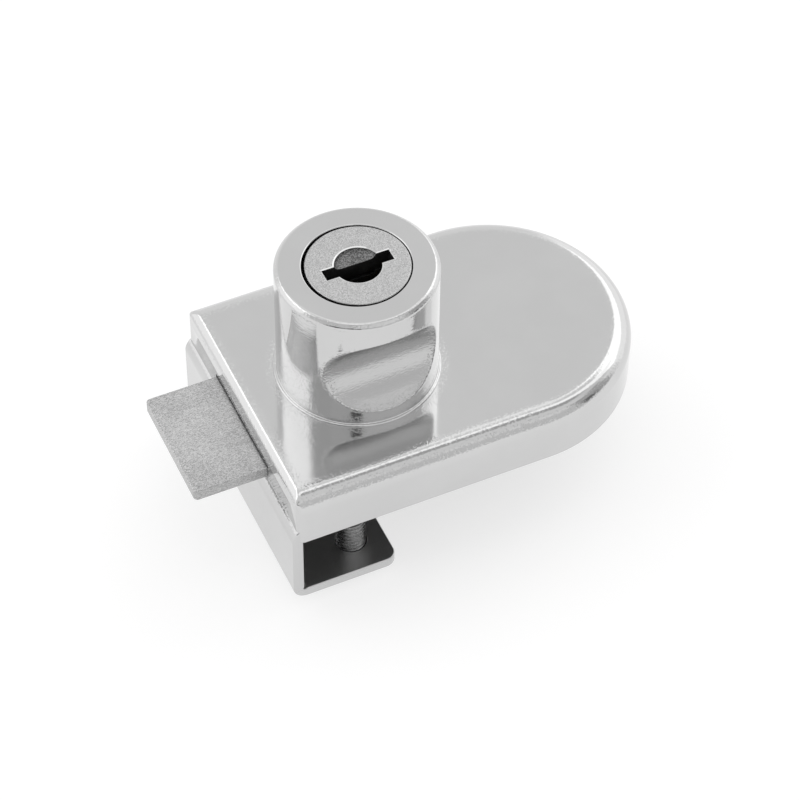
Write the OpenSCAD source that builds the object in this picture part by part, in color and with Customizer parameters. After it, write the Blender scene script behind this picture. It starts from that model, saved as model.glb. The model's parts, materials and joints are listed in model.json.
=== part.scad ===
// Glass cabinet door lock: a D-shaped casing with an upright key barrel, a sliding bolt
// and a bent steel bracket that reaches round the edge of the glass and is clamped from below.
// Frame: the origin is where the key barrel's axis meets the glass, +Z points from the glass
// up the barrel, and the bolt comes out toward -X. It is drawn with the bolt thrown.

/* [Casing] */
// Length of the casing, flat end to round end
case_l = 54; // [51:0.5:60]
// Width of the casing
case_w = 37; // [36:0.5:42]
// Height of the casing, lower edge to top face
case_h = 8.2; // [7.8:0.1:10]
// Thickness of the side walls
wall_t = 1.8; // [1.4:0.1:2.2]
// Thickness of the flat end wall that the bolt passes
end_wall_t = 2; // [1.8:0.1:2.6]
// Thickness of the roof over the mechanism
roof_t = 1.8; // [1.4:0.1:2.2]
// Rounding of the top edge along the sides and round end
top_r = 2.5; // [1:0.1:3]
// Bevel on the top edge of the flat end
end_bevel = 0.8; // [0.3:0.1:1.2]
// Rounding of the two upright corners at the flat end
corner_r = 1; // [0.4:0.1:1.4]
// Height of the casing's lower edge over the glass, with the pad not yet pressed
skirt_gap = 0.3; // [0.1:0.1:0.6]

/* [Key barrel] */
// Diameter of the barrel
barrel_d = 21; // [20:0.5:24]
// Height of the barrel above the casing's top face
barrel_h = 18.4; // [17:0.1:22]
// Distance from the flat end to the barrel's axis
barrel_x = 16.3; // [15.5:0.1:18]
// Bevel round the barrel's rim
rim_bevel = 0.6; // [0.2:0.1:1]
// Width of the low ring round the barrel's foot
foot_ring_w = 0.6; // [0.3:0.1:1]
// Height of the low ring round the barrel's foot
foot_ring_h = 0.35; // [0.2:0.05:0.6]
// Radius of the hollow scooped across the barrel's side
scoop_r = 7.3; // [6.5:0.1:7.8]
// Metal left between the scoop and the plug's bore
scoop_wall = 1.25; // [0.8:0.05:2.5]
// Height of the scoop's middle above the casing's top face
scoop_h = 8.4; // [8:0.1:9]

/* [Plug] */
// Diameter of the plug's working length
plug_d = 11.6; // [11:0.1:12]
// Diameter of the plug's head
head_d = 13.6; // [13.2:0.1:14.4]
// Height of the plug's head
head_h = 3; // [2.4:0.1:3.4]
// Gap round the plug's head
head_gap = 0.2; // [0.1:0.05:0.3]
// How far the plug's face lies below the rim
face_drop = 0.1; // [0:0.05:0.4]
// Diameter of the round key socket in the plug's face
socket_d = 6.1; // [5.6:0.1:6.6]
// Depth of the round key socket
socket_depth = 3.5; // [2.5:0.1:3.8]
// Length of the keyway slot across the plug
keyway_l = 9.2; // [8.6:0.1:9.6]
// Width of the keyway slot
keyway_w = 1.8; // [1.5:0.1:2.2]
// Solid metal left between the keyway's end and the screw hole
keyway_floor = 0.7; // [0.5:0.1:1]
// Running gap of the plug in its bore
plug_gap = 0.05; // [0.03:0.01:0.08]
// Quarter turn of the key
key_turn = 90; // [80:1:92]

/* [Wafers] */
// Thickness of a wafer
wafer_t = 1; // [0.8:0.1:1.1]
// Width of a wafer
wafer_w = 5.2; // [4.8:0.1:5.4]
// Distance from one wafer to the next
wafer_pitch = 2.3; // [2.2:0.05:2.35]
// Travel of a wafer
wafer_travel = 0.45; // [0.3:0.05:0.5]
// Gap round a wafer in its slot
wafer_gap = 0.05; // [0.03:0.01:0.08]
// Metal at the ends of a wafer's window, before the key's cut is added
wafer_bridge = 1.45; // [1.2:0.05:1.6]
// Gap between the window's sides and the keyway's
window_gap = 0.1; // [0.05:0.05:0.3]
// Thickness of the wafer's spring lug
lug_t = 1; // [0.8:0.1:1.2]
// Reach of the spring lug beside the wafer
lug_reach = 1.5; // [1.4:0.1:1.6]
// Outer diameter of a wafer spring
wspring_d = 1.2; // [1:0.05:1.25]
// Wire diameter of a wafer spring
wspring_wire = 0.2; // [0.15:0.01:0.22]
// Length of a wafer spring as fitted
wspring_l = 3; // [2.7:0.1:3.2]
// Gap at each end of a wafer spring
wspring_end = 0.02; // [0.01:0.01:0.05]
// Curls in a wafer spring
wspring_turns = 4; // [3:1:4]

/* [Bolt] */
// Width of the bolt's head
bolt_w = 17; // [15:0.5:18]
// Thickness of the bolt
bolt_t = 1.7; // [1.5:0.1:1.9]
// How far the bolt comes out of the casing
throw = 10; // [9:0.5:10.5]
// Rounding of the bolt's outer corners
bolt_corner_r = 0.8; // [0.3:0.1:1.5]
// Length of the bolt behind the middle of its crank slot
bolt_back = 12.7; // [11:0.1:14]
// Running gap under and beside the bolt
bolt_gap = 0.05; // [0.03:0.01:0.1]
// Gap round the bolt in the end wall
slot_gap = 0.2; // [0.15:0.05:0.4]
// Metal left beyond each end of the crank slot
slot_margin = 1.3; // [1:0.1:2]
// Gap between the bolt's shoulders and the end wall when it is thrown
shoulder_gap = 0.3; // [0.2:0.1:0.6]
// Width of the casing ribs that guide the bolt
rib_t = 1.5; // [1:0.1:1.8]
// How far the ribs run on past the drawn-back bolt
rib_over = 1.5; // [0.5:0.1:2]

/* [Crank] */
// Diameter of the crank's hub
hub_d = 10.4; // [9:0.1:11]
// Width of the crank's arm
arm_w = 4.6; // [4:0.1:5]
// Diameter of the crank pin
pin_d = 3; // [2.6:0.1:3.2]
// Play between the crank pin and the sides of its slot
pin_play = 0.3; // [0.28:0.01:0.4]
// Gap above the crank and below it
crank_gap = 0.12; // [0.1:0.01:0.15]
// Width of the plug's square tail
tail_w = 4; // [3.6:0.1:4.2]
// Gap round the square tail in the crank
tail_gap = 0.02; // [0.01:0.01:0.04]
// Diameter of the crank screw's thread
cscrew_d = 2.5; // [2:0.5:2.5]
// Diameter of the crank screw's head
cscrew_head_d = 6; // [5.6:0.1:6.4]
// Height of the crank screw's head
cscrew_head_h = 0.7; // [0.6:0.05:0.75]
// How far the crank screw reaches past the clip's pocket
cscrew_bite = 0.2; // [0.1:0.1:0.6]
// Width of the crank screw's driver slot
cslot_w = 0.7; // [0.5:0.1:0.9]
// Diameter of the two stop pins
stop_d = 1.6; // [1.2:0.1:1.8]
// Metal left between the stop pins and the clip's pocket
stop_wall = 0.35; // [0.3:0.05:0.5]
// Gap left between a stop pin and the crank's arm at the end of its turn
stop_gap = 0.05; // [0.02:0.01:0.1]
// Depth of the stop pins in the casing
stop_depth = 2.6; // [2:0.1:2.8]

/* [Retaining clip] */
// Thickness of the clip
clip_t = 0.7; // [0.5:0.1:0.9]
// Outer diameter of the clip
clip_d = 14; // [13.4:0.1:14.4]
// Depth of the clip's groove in the plug
clip_groove = 0.9; // [0.6:0.1:1]
// Height of the pocket in the barrel's foot that the clip turns in
pocket_h = 3; // [2.8:0.1:3.2]
// Gap above the clip and in its groove
clip_gap = 0.08; // [0.05:0.01:0.1]
// Gap between the clip and the pocket's wall
pocket_gap = 0.5; // [0.3:0.1:0.6]
// Width of the clip's opening
clip_mouth = 8.7; // [8:0.1:9.2]

/* [Brake spring] */
// Width of the leaf spring that steadies the bolt
leaf_w = 3.4; // [2.6:0.1:3.6]
// Thickness of the leaf spring
leaf_t = 0.3; // [0.2:0.05:0.4]
// Length of the leaf's bowed stretch
leaf_l = 15; // [12:0.5:17]
// Length of the leaf's flat tab
tab_l = 4.4; // [4:0.1:5]
// Diameter of the cast peg that holds the tab
peg_d = 1.8; // [1.4:0.1:2]
// Distance between the crank's hub and the leaf
leaf_gap = 1.4; // [1:0.1:2]

/* [Clamp bracket] */
// Thickness of the bracket's steel sheet
sheet_t = 1.5; // [1.2:0.1:1.6]
// How far the web stands out from the casing's flat end
web_out = 0.75; // [0.5:0.05:0.9]
// Inside radius of the bend under the end wall
bend_r = 1; // [0.6:0.1:1.2]
// Inside radius of the bend at the lip
lip_bend_r = 0.5; // [0.3:0.1:1]
// How far the web and lip lie in from the casing's sides
web_inset = 0.3; // [0.1:0.1:1.2]
// Gap between the web's upper edge and the casing
web_gap = 0.1; // [0.05:0.05:0.3]
// Opening between the glass seat and the lip
glass_gap = 9.5; // [8.5:0.5:14]
// Length of the lip, measured from the flat end
lip_l = 14; // [12.5:0.1:16]
// Rounding of the lip's corners
lip_corner_r = 1.6; // [0.8:0.1:3]
// Gap between the bracket's plate and the casing's walls
plate_gap = 0.15; // [0.1:0.05:0.3]
// Thickness of the glass pad under the plate
pad_t = 1.4; // [1:0.1:1.6]
// How far the pad's edge lies in from the plate's edge
pad_inset = 1; // [0.5:0.1:3]

/* [Screws] */
// Thread diameter of the clamp screws
clamp_d = 4; // [3:0.5:4.5]
// Thread pitch of the clamp screws
clamp_pitch = 0.7; // [0.5:0.05:0.8]
// Length of the clamp screws
clamp_l = 8.5; // [7:0.5:10]
// Distance from the clamp screws to the lip's end
clamp_end = 4.5; // [4:0.1:6]
// Distance from the clamp screws to the lip's sides
clamp_edge = 5.2; // [4.5:0.1:8]
// Depth of thread that the clamp screw shows below its collar
clamp_below = 0.5; // [0.2:0.1:1]
// Running gap of the clamp screws in the lip
clamp_gap = 0.05; // [0.03:0.01:0.1]
// Chamfer where the clamp screws come through the lip
clamp_chamfer = 0.3; // [0.1:0.1:0.5]
// Wall of the threaded collar under the lip
collar_t = 1.5; // [1:0.1:2]
// Height of the threaded collar under the lip
collar_h = 1.2; // [0.8:0.1:2]
// Width across the flats of the clamp screw's hexagon socket
hex_af = 2; // [1.5:0.1:2.2]
// Depth of the hexagon socket
hex_depth = 2.5; // [1.5:0.1:3]
// Diameter of the soft tip's face
tip_d = 3; // [2.6:0.1:3.4]
// Height of the soft tip above its screw
tip_h = 0.9; // [0.5:0.1:1.2]
// Depth of the soft tip's stem in its screw
stem_l = 1.1; // [0.8:0.1:1.5]
// Diameter of the soft tip's stem
stem_d = 1.9; // [1.6:0.1:2]
// Thread diameter of the plate screws
pscrew_d = 2.2; // [2:0.1:2.4]
// Head diameter of the plate screws
pscrew_head_d = 3.8; // [3.4:0.1:4.2]
// Metal left over the tip of a plate screw's hole
pscrew_floor = 0.2; // [0.1:0.1:0.5]
// Room past the tip of a plate screw
pscrew_room = 0.3; // [0.1:0.1:0.6]
// Depth of the cross in a plate screw's head
cross_depth = 0.8; // [0.5:0.1:1]
// Length of the cross in a plate screw's head
cross_l = 2.2; // [1.8:0.1:2.6]
// Width of the cross in a plate screw's head
cross_w = 0.5; // [0.4:0.05:0.6]
// Wall of the bosses round the plate screws
boss_t = 1.1; // [0.8:0.1:1.2]
// Distance from the flat end to the front pair of plate screws
pscrew_x = 12; // [8:0.5:16]
// Distance from the rear pair of plate screws to the plate's round edge
pscrew_edge = 5; // [3:0.5:6]
// Angle of the rear pair of plate screws to either side of the casing's middle line
pscrew_angle = 56; // [40:1:60]

/* [Hidden] */
$fn = 96;
// Small overlap that makes cuts run clear of the faces they open
eps = 0.5;

// Heights, from the glass up
case_z0 = skirt_gap;
case_z1 = case_z0 + case_h;
roof_z = case_z1 - roof_t;
plate_z0 = pad_t;
plate_z1 = plate_z0 + sheet_t;
bolt_z0 = plate_z1 + bolt_gap;
bolt_z1 = bolt_z0 + bolt_t;
crank_z0 = bolt_z1 + crank_gap;
crank_z1 = roof_z - crank_gap;
barrel_z1 = case_z1 + barrel_h;
face_z = barrel_z1 - face_drop;
head_z0 = face_z - head_h;
seat_z = head_z0 - plug_gap;
pocket_z = roof_z + pocket_h;
socket_z = face_z - socket_depth;
cscrew_z0 = crank_z0 + crank_gap / 2;
cscrew_z1 = cscrew_z0 + cscrew_head_h;
tail_z0 = cscrew_z1 + crank_gap / 2;
plug_z0 = crank_z1 + crank_gap / 2;
cscrew_tip = pocket_z + cscrew_bite;
keyway_z0 = cscrew_tip + keyway_floor;
clip_z1 = pocket_z - clip_gap;
clip_z0 = clip_z1 - clip_t;
lip_z1 = -glass_gap;
lip_z0 = lip_z1 - sheet_t;
collar_z0 = lip_z0 - collar_h;
clamp_z0 = collar_z0 - clamp_below;
clamp_z1 = clamp_z0 + clamp_l;

// Places along the casing, from the barrel's axis
flat_x = -barrel_x;
end_r = case_w / 2;
end_cx = flat_x + case_l - end_r;
cavity_x = flat_x + end_wall_t;
cavity_half = end_r - wall_t;
plate_half = cavity_half - plate_gap;
pad_half = plate_half - pad_inset;

// Barrel and plug
barrel_r = barrel_d / 2;
foot_r = barrel_r + foot_ring_w;
plug_r = plug_d / 2;
bore_r = plug_r + plug_gap;
head_r = head_d / 2;
counterbore_r = head_r + head_gap;
pocket_r = clip_d / 2 + pocket_gap;
scoop_y = -(bore_r + scoop_wall + scoop_r);
scoop_z = case_z1 + scoop_h;

// Wafers, and how deep the key's cut for each of them is
key_cuts = [0.4, 0.8, 0.2, 0.6, 0.8];
wafer_count = len(key_cuts);
wafer_r = plug_r - wafer_gap;
window_x = wafer_r - wafer_bridge;
wafer_stack = (wafer_count - 1) * wafer_pitch + wafer_t;
wafer_z0 = keyway_z0 + (socket_z - keyway_z0 - wafer_stack) / 2;
groove_r = bore_r + wafer_travel + 2 * wafer_gap;
groove_half = wafer_w / 2 + 4 * wafer_gap;
window_w = keyway_w + 2 * window_gap;
lug_y0 = wafer_w / 2;
lug_y1 = lug_y0 + lug_reach;
wspring_y = lug_y0 + wafer_gap * 2 + wspring_d / 2;
wspring_r = (wspring_d - wspring_wire) / 2;
wspring_run = wspring_l - 2 * wspring_end;
wpocket_h = wspring_d + 4 * wafer_gap;

// Crank, bolt and stops
half_turn = key_turn / 2;
crank_r = throw / (2 * sin(half_turn));
rest_angle = 90 + half_turn;
pin_r = pin_d / 2;
crank_slot_r = pin_r + pin_play;
pin_x = -throw / 2;
pin_y = crank_r * cos(half_turn);
bolt_tail_half = crank_r + crank_slot_r + slot_margin;
bolt_tip_x = flat_x - throw;
shoulder_x = cavity_x + shoulder_gap;
bolt_end_x = pin_x + bolt_back;
rib_y0 = bolt_tail_half + bolt_gap;
rib_x1 = bolt_end_x + throw + rib_over;
tail_half = tail_w / 2;
arm_half = arm_w / 2;
stop_r = stop_d / 2;
stop_radius = pocket_r + stop_wall + stop_r;
stop_reach = arm_half + stop_r + stop_gap;
stop_swing = acos((stop_radius * stop_radius + crank_r * crank_r - stop_reach * stop_reach)
    / (2 * stop_radius * crank_r));

// Leaf spring
leaf_y = -(hub_d / 2 + leaf_gap + leaf_w / 2);
leaf_x = (shoulder_x + throw + bolt_end_x) / 2;
leaf_belly_z = bolt_z1 + bolt_gap;
leaf_sag = roof_z - leaf_belly_z - leaf_t;
leaf_bow_r = (leaf_l * leaf_l / 4 + leaf_sag * leaf_sag) / (2 * leaf_sag);
peg_x = leaf_x + leaf_l / 2 + tab_l / 2;

// Bracket
web_x0 = flat_x - web_out;
web_x1 = web_x0 + sheet_t;
bend_out_r = bend_r + sheet_t;
bend_cx = web_x0 + bend_out_r;
bend_cz = plate_z1 - bend_out_r;
neck_half = plate_half;
web_half = end_r - web_inset;
web_top_z = case_z0 - web_gap;
lip_bend_out_r = lip_bend_r + sheet_t;
lip_bend_cx = web_x1 + lip_bend_r;
lip_bend_cz = lip_z1 + lip_bend_r;
lip_end_x = flat_x + lip_l;

// Screws
clamp_cx = lip_end_x - clamp_end;
clamp_cy = web_half - clamp_edge;
clamp_r = clamp_d / 2;
clamp_hole_r = clamp_r + clamp_gap;
pscrew_r = pscrew_d / 2;
boss_r = pscrew_r + boss_t;
pscrew_hole_z = roof_z - pscrew_floor;
pscrew_tip_z = pscrew_hole_z - pscrew_room;
pscrew_lane_y = (rib_y0 + plate_half) / 2;
pscrew_reach = plate_half - pscrew_edge;
pscrew_places = [
    for (side = [-1, 1])
        each [
            [flat_x + pscrew_x, side * pscrew_lane_y],
            [end_cx + pscrew_reach * cos(pscrew_angle), side * pscrew_reach * sin(pscrew_angle)]
        ]
];

// D-shaped outline with its flat end at x0 and its round end about end_cx
module d_outline(half, x0) {
    translate([x0, -half])
        square([end_cx - x0, 2 * half]);
    translate([end_cx, 0])
        circle(r = half);
}

module d_plate(half, x0, z0, z1) {
    translate([0, 0, z0])
        linear_extrude(z1 - z0)
            d_outline(half, x0);
}

module box(x0, x1, y0, y1, z0, z1) {
    translate([x0, y0, z0])
        cube([x1 - x0, y1 - y0, z1 - z0]);
}

module rod(r, z0, z1) {
    translate([0, 0, z0])
        cylinder(r = r, h = z1 - z0);
}

// Half of the casing's cross-section, with the rounded top edge
module case_half_section() {
    square([end_r - top_r, case_h]);
    square([end_r, case_h - top_r]);
    translate([end_r - top_r, case_h - top_r])
        circle(r = top_r);
}

module case_body() {
    translate([flat_x, 0, case_z0])
        rotate([90, 0, 90])
            linear_extrude(end_cx - flat_x) {
                case_half_section();
                mirror([1, 0])
                    case_half_section();
            }
    translate([end_cx, 0, case_z0])
        rotate_extrude()
            intersection() {
                case_half_section();
                square([end_r + 1, case_h + 1]);
            }
}

// Wedge cut off the top edge of the flat end
module end_bevel_cut() {
    translate([flat_x, end_r + 1, case_z1])
        rotate([90, 0, 0])
            linear_extrude(2 * end_r + 2)
                polygon([[-1, -end_bevel - 1], [end_bevel + 1, 1], [-1, 1]]);
}

// What is cut off an upright corner to round it
module corner_cut(side) {
    translate([flat_x, side * end_r, case_z0 - eps])
        mirror([0, side > 0 ? 1 : 0, 0])
            linear_extrude(case_h + 2 * eps)
                difference() {
                    translate([-eps, -eps])
                        square([corner_r + eps, corner_r + eps]);
                    translate([corner_r, corner_r])
                        circle(r = corner_r);
                }
}

module barrel_body() {
    rod(barrel_r, roof_z, barrel_z1 - rim_bevel);
    translate([0, 0, barrel_z1 - rim_bevel])
        cylinder(r1 = barrel_r, r2 = barrel_r - rim_bevel, h = rim_bevel);
    rod(foot_r, roof_z, case_z1 + foot_ring_h);
}

module casing_inside() {
    difference() {
        d_plate(cavity_half, cavity_x, case_z0 - eps, roof_z);
        for (side = [-1, 1])
            box(cavity_x - eps, rib_x1, side * (rib_y0 + rib_t / 2) - rib_t / 2,
                side * (rib_y0 + rib_t / 2) + rib_t / 2, plate_z1, roof_z + eps);
        for (p = pscrew_places)
            translate([p[0], p[1], 0])
                rod(boss_r, plate_z1, roof_z + eps);
        translate([peg_x, leaf_y, 0])
            rod(peg_d / 2, roof_z - 2 * leaf_t, roof_z + eps);
    }
}

// Way through the end wall for the bracket's bend and plate
module bend_way() {
    box(flat_x - eps, cavity_x + eps, -neck_half - plate_gap, neck_half + plate_gap,
        case_z0 - eps, bend_cz);
    box(bend_cx, cavity_x + eps, -neck_half - plate_gap, neck_half + plate_gap,
        case_z0 - eps, plate_z1);
    translate([bend_cx, neck_half + plate_gap, bend_cz])
        rotate([90, 0, 0])
            cylinder(r = bend_out_r, h = 2 * (neck_half + plate_gap));
}

module casing() {
    color("gainsboro")
    difference() {
        union() {
            case_body();
            barrel_body();
        }
        casing_inside();
        end_bevel_cut();
        corner_cut(-1);
        corner_cut(1);
        bend_way();
        box(flat_x - eps, cavity_x + eps, -bolt_w / 2 - slot_gap, bolt_w / 2 + slot_gap,
            bend_cz, bolt_z1 + slot_gap);
        translate([-barrel_r - 1, scoop_y, scoop_z])
            rotate([0, 90, 0])
                cylinder(r = scoop_r, h = 2 * barrel_r + 2);
        rod(counterbore_r, seat_z, barrel_z1 + eps);
        rod(bore_r, roof_z - eps, seat_z + eps);
        rod(pocket_r, roof_z - eps, pocket_z);
        for (a = [0, 90])
            rotate([0, 0, a])
                intersection() {
                    rod(groove_r, wafer_z0 - 4 * wafer_gap, seat_z + eps);
                    box(-groove_r - 1, groove_r + 1, -groove_half, groove_half,
                        wafer_z0 - 4 * wafer_gap, seat_z + eps);
                }
        for (a = [rest_angle + stop_swing, 180 - rest_angle - stop_swing])
            rotate([0, 0, a])
                translate([stop_radius, 0, 0])
                    rod(stop_r, roof_z - eps, roof_z + stop_depth);
        for (p = pscrew_places)
            translate([p[0], p[1], 0])
                rod(pscrew_r, plate_z1 - eps, pscrew_hole_z);
    }
}

// Bent sheet between two thicknesses of a bend, in the quarter that faces dx and dz
module bend(cx, cz, r_in, half, dx, dz) {
    quarter = r_in + sheet_t + 1;
    translate([cx, half, cz])
        rotate([90, 0, 0])
            linear_extrude(2 * half)
                intersection() {
                    difference() {
                        circle(r = r_in + sheet_t);
                        circle(r = r_in);
                    }
                    translate([dx < 0 ? -quarter : 0, dz < 0 ? -quarter : 0])
                        square(quarter);
                }
}

module clamp_hole() {
    rod(clamp_hole_r, collar_z0 - eps, lip_z1 + eps);
    translate([0, 0, lip_z1 - clamp_chamfer])
        cylinder(r1 = clamp_hole_r, r2 = clamp_hole_r + 2 * clamp_chamfer, h = 2 * clamp_chamfer);
}

module lip() {
    translate([0, 0, lip_z0])
        linear_extrude(sheet_t) {
            translate([lip_bend_cx, -web_half])
                square([lip_end_x - lip_corner_r - lip_bend_cx, 2 * web_half]);
            translate([lip_end_x - lip_corner_r - 1, -web_half + lip_corner_r])
                square([lip_corner_r + 1, 2 * (web_half - lip_corner_r)]);
            for (side = [-1, 1])
                translate([lip_end_x - lip_corner_r, side * (web_half - lip_corner_r)])
                    circle(r = lip_corner_r);
        }
    for (side = [-1, 1])
        translate([clamp_cx, side * clamp_cy, 0])
            rod(clamp_hole_r + collar_t, collar_z0, lip_z0 + eps);
}

module clamp_bracket() {
    color("lightsteelblue")
    difference() {
        union() {
            d_plate(plate_half, bend_cx, plate_z0, plate_z1);
            bend(bend_cx, bend_cz, bend_r, neck_half, -1, 1);
            box(web_x0, web_x1, -neck_half, neck_half, web_top_z - eps, bend_cz);
            box(web_x0, web_x1, -web_half, web_half, lip_bend_cz, web_top_z);
            bend(lip_bend_cx, lip_bend_cz, lip_bend_r, web_half, -1, -1);
            lip();
        }
        for (side = [-1, 1])
            translate([clamp_cx, side * clamp_cy, 0])
                clamp_hole();
        for (p = pscrew_places)
            translate([p[0], p[1], plate_z0 - eps])
                plate_screw_form(eps);
    }
}

module glass_pad() {
    color("dimgray")
    d_plate(pad_half, cavity_x + pad_inset + plate_gap, 0, plate_z0);
}

// Outline of the bolt seen from above: head, wider tail and shoulders
module bolt_outline() {
    translate([bolt_tip_x, -bolt_w / 2 + bolt_corner_r])
        square([shoulder_x - bolt_tip_x + 1, bolt_w - 2 * bolt_corner_r]);
    translate([bolt_tip_x + bolt_corner_r, -bolt_w / 2])
        square([shoulder_x - bolt_tip_x, bolt_w]);
    for (side = [-1, 1])
        translate([bolt_tip_x + bolt_corner_r, side * (bolt_w / 2 - bolt_corner_r)])
            circle(r = bolt_corner_r);
    translate([shoulder_x, -bolt_tail_half])
        square([bolt_end_x - shoulder_x, 2 * bolt_tail_half]);
}

module bolt() {
    color("silver")
    translate([0, 0, bolt_z0])
        linear_extrude(bolt_t)
            difference() {
                bolt_outline();
                translate([pin_x - crank_slot_r, pin_y])
                    square([2 * crank_slot_r, crank_r - pin_y]);
                for (y = [pin_y, crank_r])
                    translate([pin_x, y])
                        circle(r = crank_slot_r);
            }
}

// Room that one wafer, its lug and its spring need in the plug
module wafer_room() {
    box(-plug_r - 1, plug_r + 1, -wafer_w / 2 - wafer_gap, wafer_w / 2 + wafer_gap,
        -wafer_t / 2 - wafer_gap, wafer_t / 2 + wafer_gap);
    box(-wspring_l, lug_t + wafer_travel + wafer_gap, 0, lug_y1 + wafer_gap,
        -wpocket_h / 2, wpocket_h / 2);
}

// Middle height of a wafer, counted from 0 at the bottom
function wafer_mid(i) = wafer_z0 + i * wafer_pitch + wafer_t / 2;

// Wafers face one way and the other in turn
function wafer_angle(i) = i % 2 == 0 ? 0 : 180;

module plug() {
    color("lightgray")
    difference() {
        union() {
            rod(plug_r, plug_z0, head_z0 + eps);
            rod(head_r, head_z0, face_z);
            box(-tail_half, tail_half, -tail_half, tail_half, tail_z0, plug_z0 + eps);
        }
        rod(socket_d / 2, socket_z, face_z + eps);
        box(-keyway_l / 2, keyway_l / 2, -keyway_w / 2, keyway_w / 2, keyway_z0, face_z + eps);
        rod(cscrew_d / 2, tail_z0 - eps, cscrew_tip);
        difference() {
            rod(plug_r + 1, clip_z0 - clip_gap / 2, clip_z1 + clip_gap / 2);
            rod(plug_r - clip_groove, clip_z0 - 1, clip_z1 + 1);
        }
        for (i = [0 : wafer_count - 1])
            translate([0, 0, wafer_mid(i)])
                rotate([0, 0, wafer_angle(i)])
                    wafer_room();
    }
}

// Ring with a gap toward +Y, wide enough to be pushed on from the side
module plug_retaining_clip() {
    color("slategray")
    difference() {
        rod(clip_d / 2, clip_z0, clip_z1);
        rod(plug_r - clip_groove + clip_gap / 2, clip_z0 - eps, clip_z1 + eps);
        box(-clip_mouth / 2, clip_mouth / 2, 0, clip_d, clip_z0 - eps, clip_z1 + eps);
    }
}

module crank() {
    color("goldenrod")
    difference() {
        union() {
            rod(hub_d / 2, crank_z0, crank_z1);
            rotate([0, 0, rest_angle]) {
                box(0, crank_r, -arm_half, arm_half, crank_z0, crank_z1);
                translate([crank_r, 0, 0])
                    rod(arm_half, crank_z0, crank_z1);
            }
        }
        rod(cscrew_head_d / 2 + crank_gap, crank_z0 - eps, tail_z0);
        box(-tail_half - tail_gap, tail_half + tail_gap, -tail_half - tail_gap,
            tail_half + tail_gap, tail_z0 - eps, crank_z1 + eps);
        rotate([0, 0, rest_angle])
            translate([crank_r, 0, 0])
                rod(pin_r, crank_z0 - eps, crank_z1 + eps);
    }
}

module crank_pin() {
    color("dimgray")
    rotate([0, 0, rest_angle])
        translate([crank_r, 0, 0])
            rod(pin_r, bolt_z0 + crank_gap, crank_z1);
}

module crank_screw() {
    color("darkgray")
    difference() {
        union() {
            rod(cscrew_head_d / 2, cscrew_z0, cscrew_z1);
            rod(cscrew_d / 2, cscrew_z1 - 0.1, cscrew_tip);
        }
        box(-cscrew_head_d, cscrew_head_d, -cslot_w / 2, cslot_w / 2, cscrew_z0 - eps,
            cscrew_z0 + cscrew_head_h / 2);
    }
}

module stop_pins() {
    color("dimgray")
    for (a = [rest_angle + stop_swing, 180 - rest_angle - stop_swing])
        rotate([0, 0, a])
            translate([stop_radius, 0, 0])
                rod(stop_r, crank_z0, roof_z + stop_depth);
}

module bolt_brake_spring() {
    color("steelblue")
    difference() {
        union() {
            translate([leaf_x, leaf_y + leaf_w / 2, leaf_belly_z + leaf_bow_r])
                rotate([90, 0, 0])
                    linear_extrude(leaf_w)
                        intersection() {
                            difference() {
                                circle(r = leaf_bow_r, $fn = 360);
                                circle(r = leaf_bow_r - leaf_t, $fn = 360);
                            }
                            translate([-leaf_l, -leaf_bow_r - 1])
                                square([2 * leaf_l, roof_z - leaf_belly_z + 1]);
                        }
            box(leaf_x + leaf_l / 2, leaf_x + leaf_l / 2 + tab_l, leaf_y - leaf_w / 2,
                leaf_y + leaf_w / 2, roof_z - leaf_t, roof_z);
        }
        translate([peg_x, leaf_y, 0])
            rod(peg_d / 2, roof_z - leaf_t - eps, roof_z + eps);
    }
}

// One wafer; its window ends nearer the middle on the side where the key's cut lifts it
module wafer(i) {
    color("khaki")
    translate([0, 0, wafer_mid(i)])
        rotate([0, 0, wafer_angle(i)]) {
            difference() {
                intersection() {
                    rod(wafer_r, -wafer_t / 2, wafer_t / 2);
                    box(-plug_r, plug_r, -wafer_w / 2, wafer_w / 2, -wafer_t / 2, wafer_t / 2);
                }
                box(key_cuts[i] - window_x, window_x, -window_w / 2, window_w / 2,
                    -wafer_t, wafer_t);
            }
            box(0, lug_t, lug_y0 - 0.2, lug_y1, -wafer_t / 2, wafer_t / 2);
        }
}

// Wound spring along X as one tube with six-sided wire
function coil_point(t, r, l, turns) = [t * l, r * cos(360 * turns * t), r * sin(360 * turns * t)];

// Rings of points in one turn of a coil
coil_steps = 8;

// Least gap between a coil's turns, measured on the points of its middle line
function coil_gap(r, wire_r, l, turns) =
    let (rings = turns * coil_steps, span = l - 2 * wire_r)
        min([
            for (k = [0 : rings - coil_steps / 2], m = [k + coil_steps / 2 : rings])
                norm(coil_point(k / rings, r, span, turns) - coil_point(m / rings, r, span, turns))
        ]) - 2 * wire_r;

module coil(r, wire_r, l, turns) {
    rings = turns * coil_steps;
    span = l - 2 * wire_r;
    points = [
        for (k = [0 : rings])
            let (t = k / rings, p = coil_point(t, r, span, turns), a = 360 * turns * t)
                for (s = [0 : 5])
                    p + wire_r * [sin(60 * s), cos(60 * s) * cos(a), cos(60 * s) * sin(a)]
    ];
    sides = [
        for (k = [0 : rings - 1], s = [0 : 5])
            let (a = k * 6 + s, b = k * 6 + (s + 1) % 6)
                each [[a, b, b + 6], [a, b + 6, a + 6]]
    ];
    caps = [[5, 4, 3, 2, 1, 0], [for (s = [0 : 5]) rings * 6 + s]];
    translate([wire_r, 0, 0])
        polyhedron(points, concat(sides, caps));
}

module wafer_springs() {
    color("gray")
    for (i = [0 : wafer_count - 1])
        translate([0, 0, wafer_mid(i)])
            rotate([0, 0, wafer_angle(i)])
                translate([wspring_end - wspring_l, wspring_y, 0])
                    coil(wspring_r, wspring_wire / 2, wspring_run, wspring_turns);
}

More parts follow.
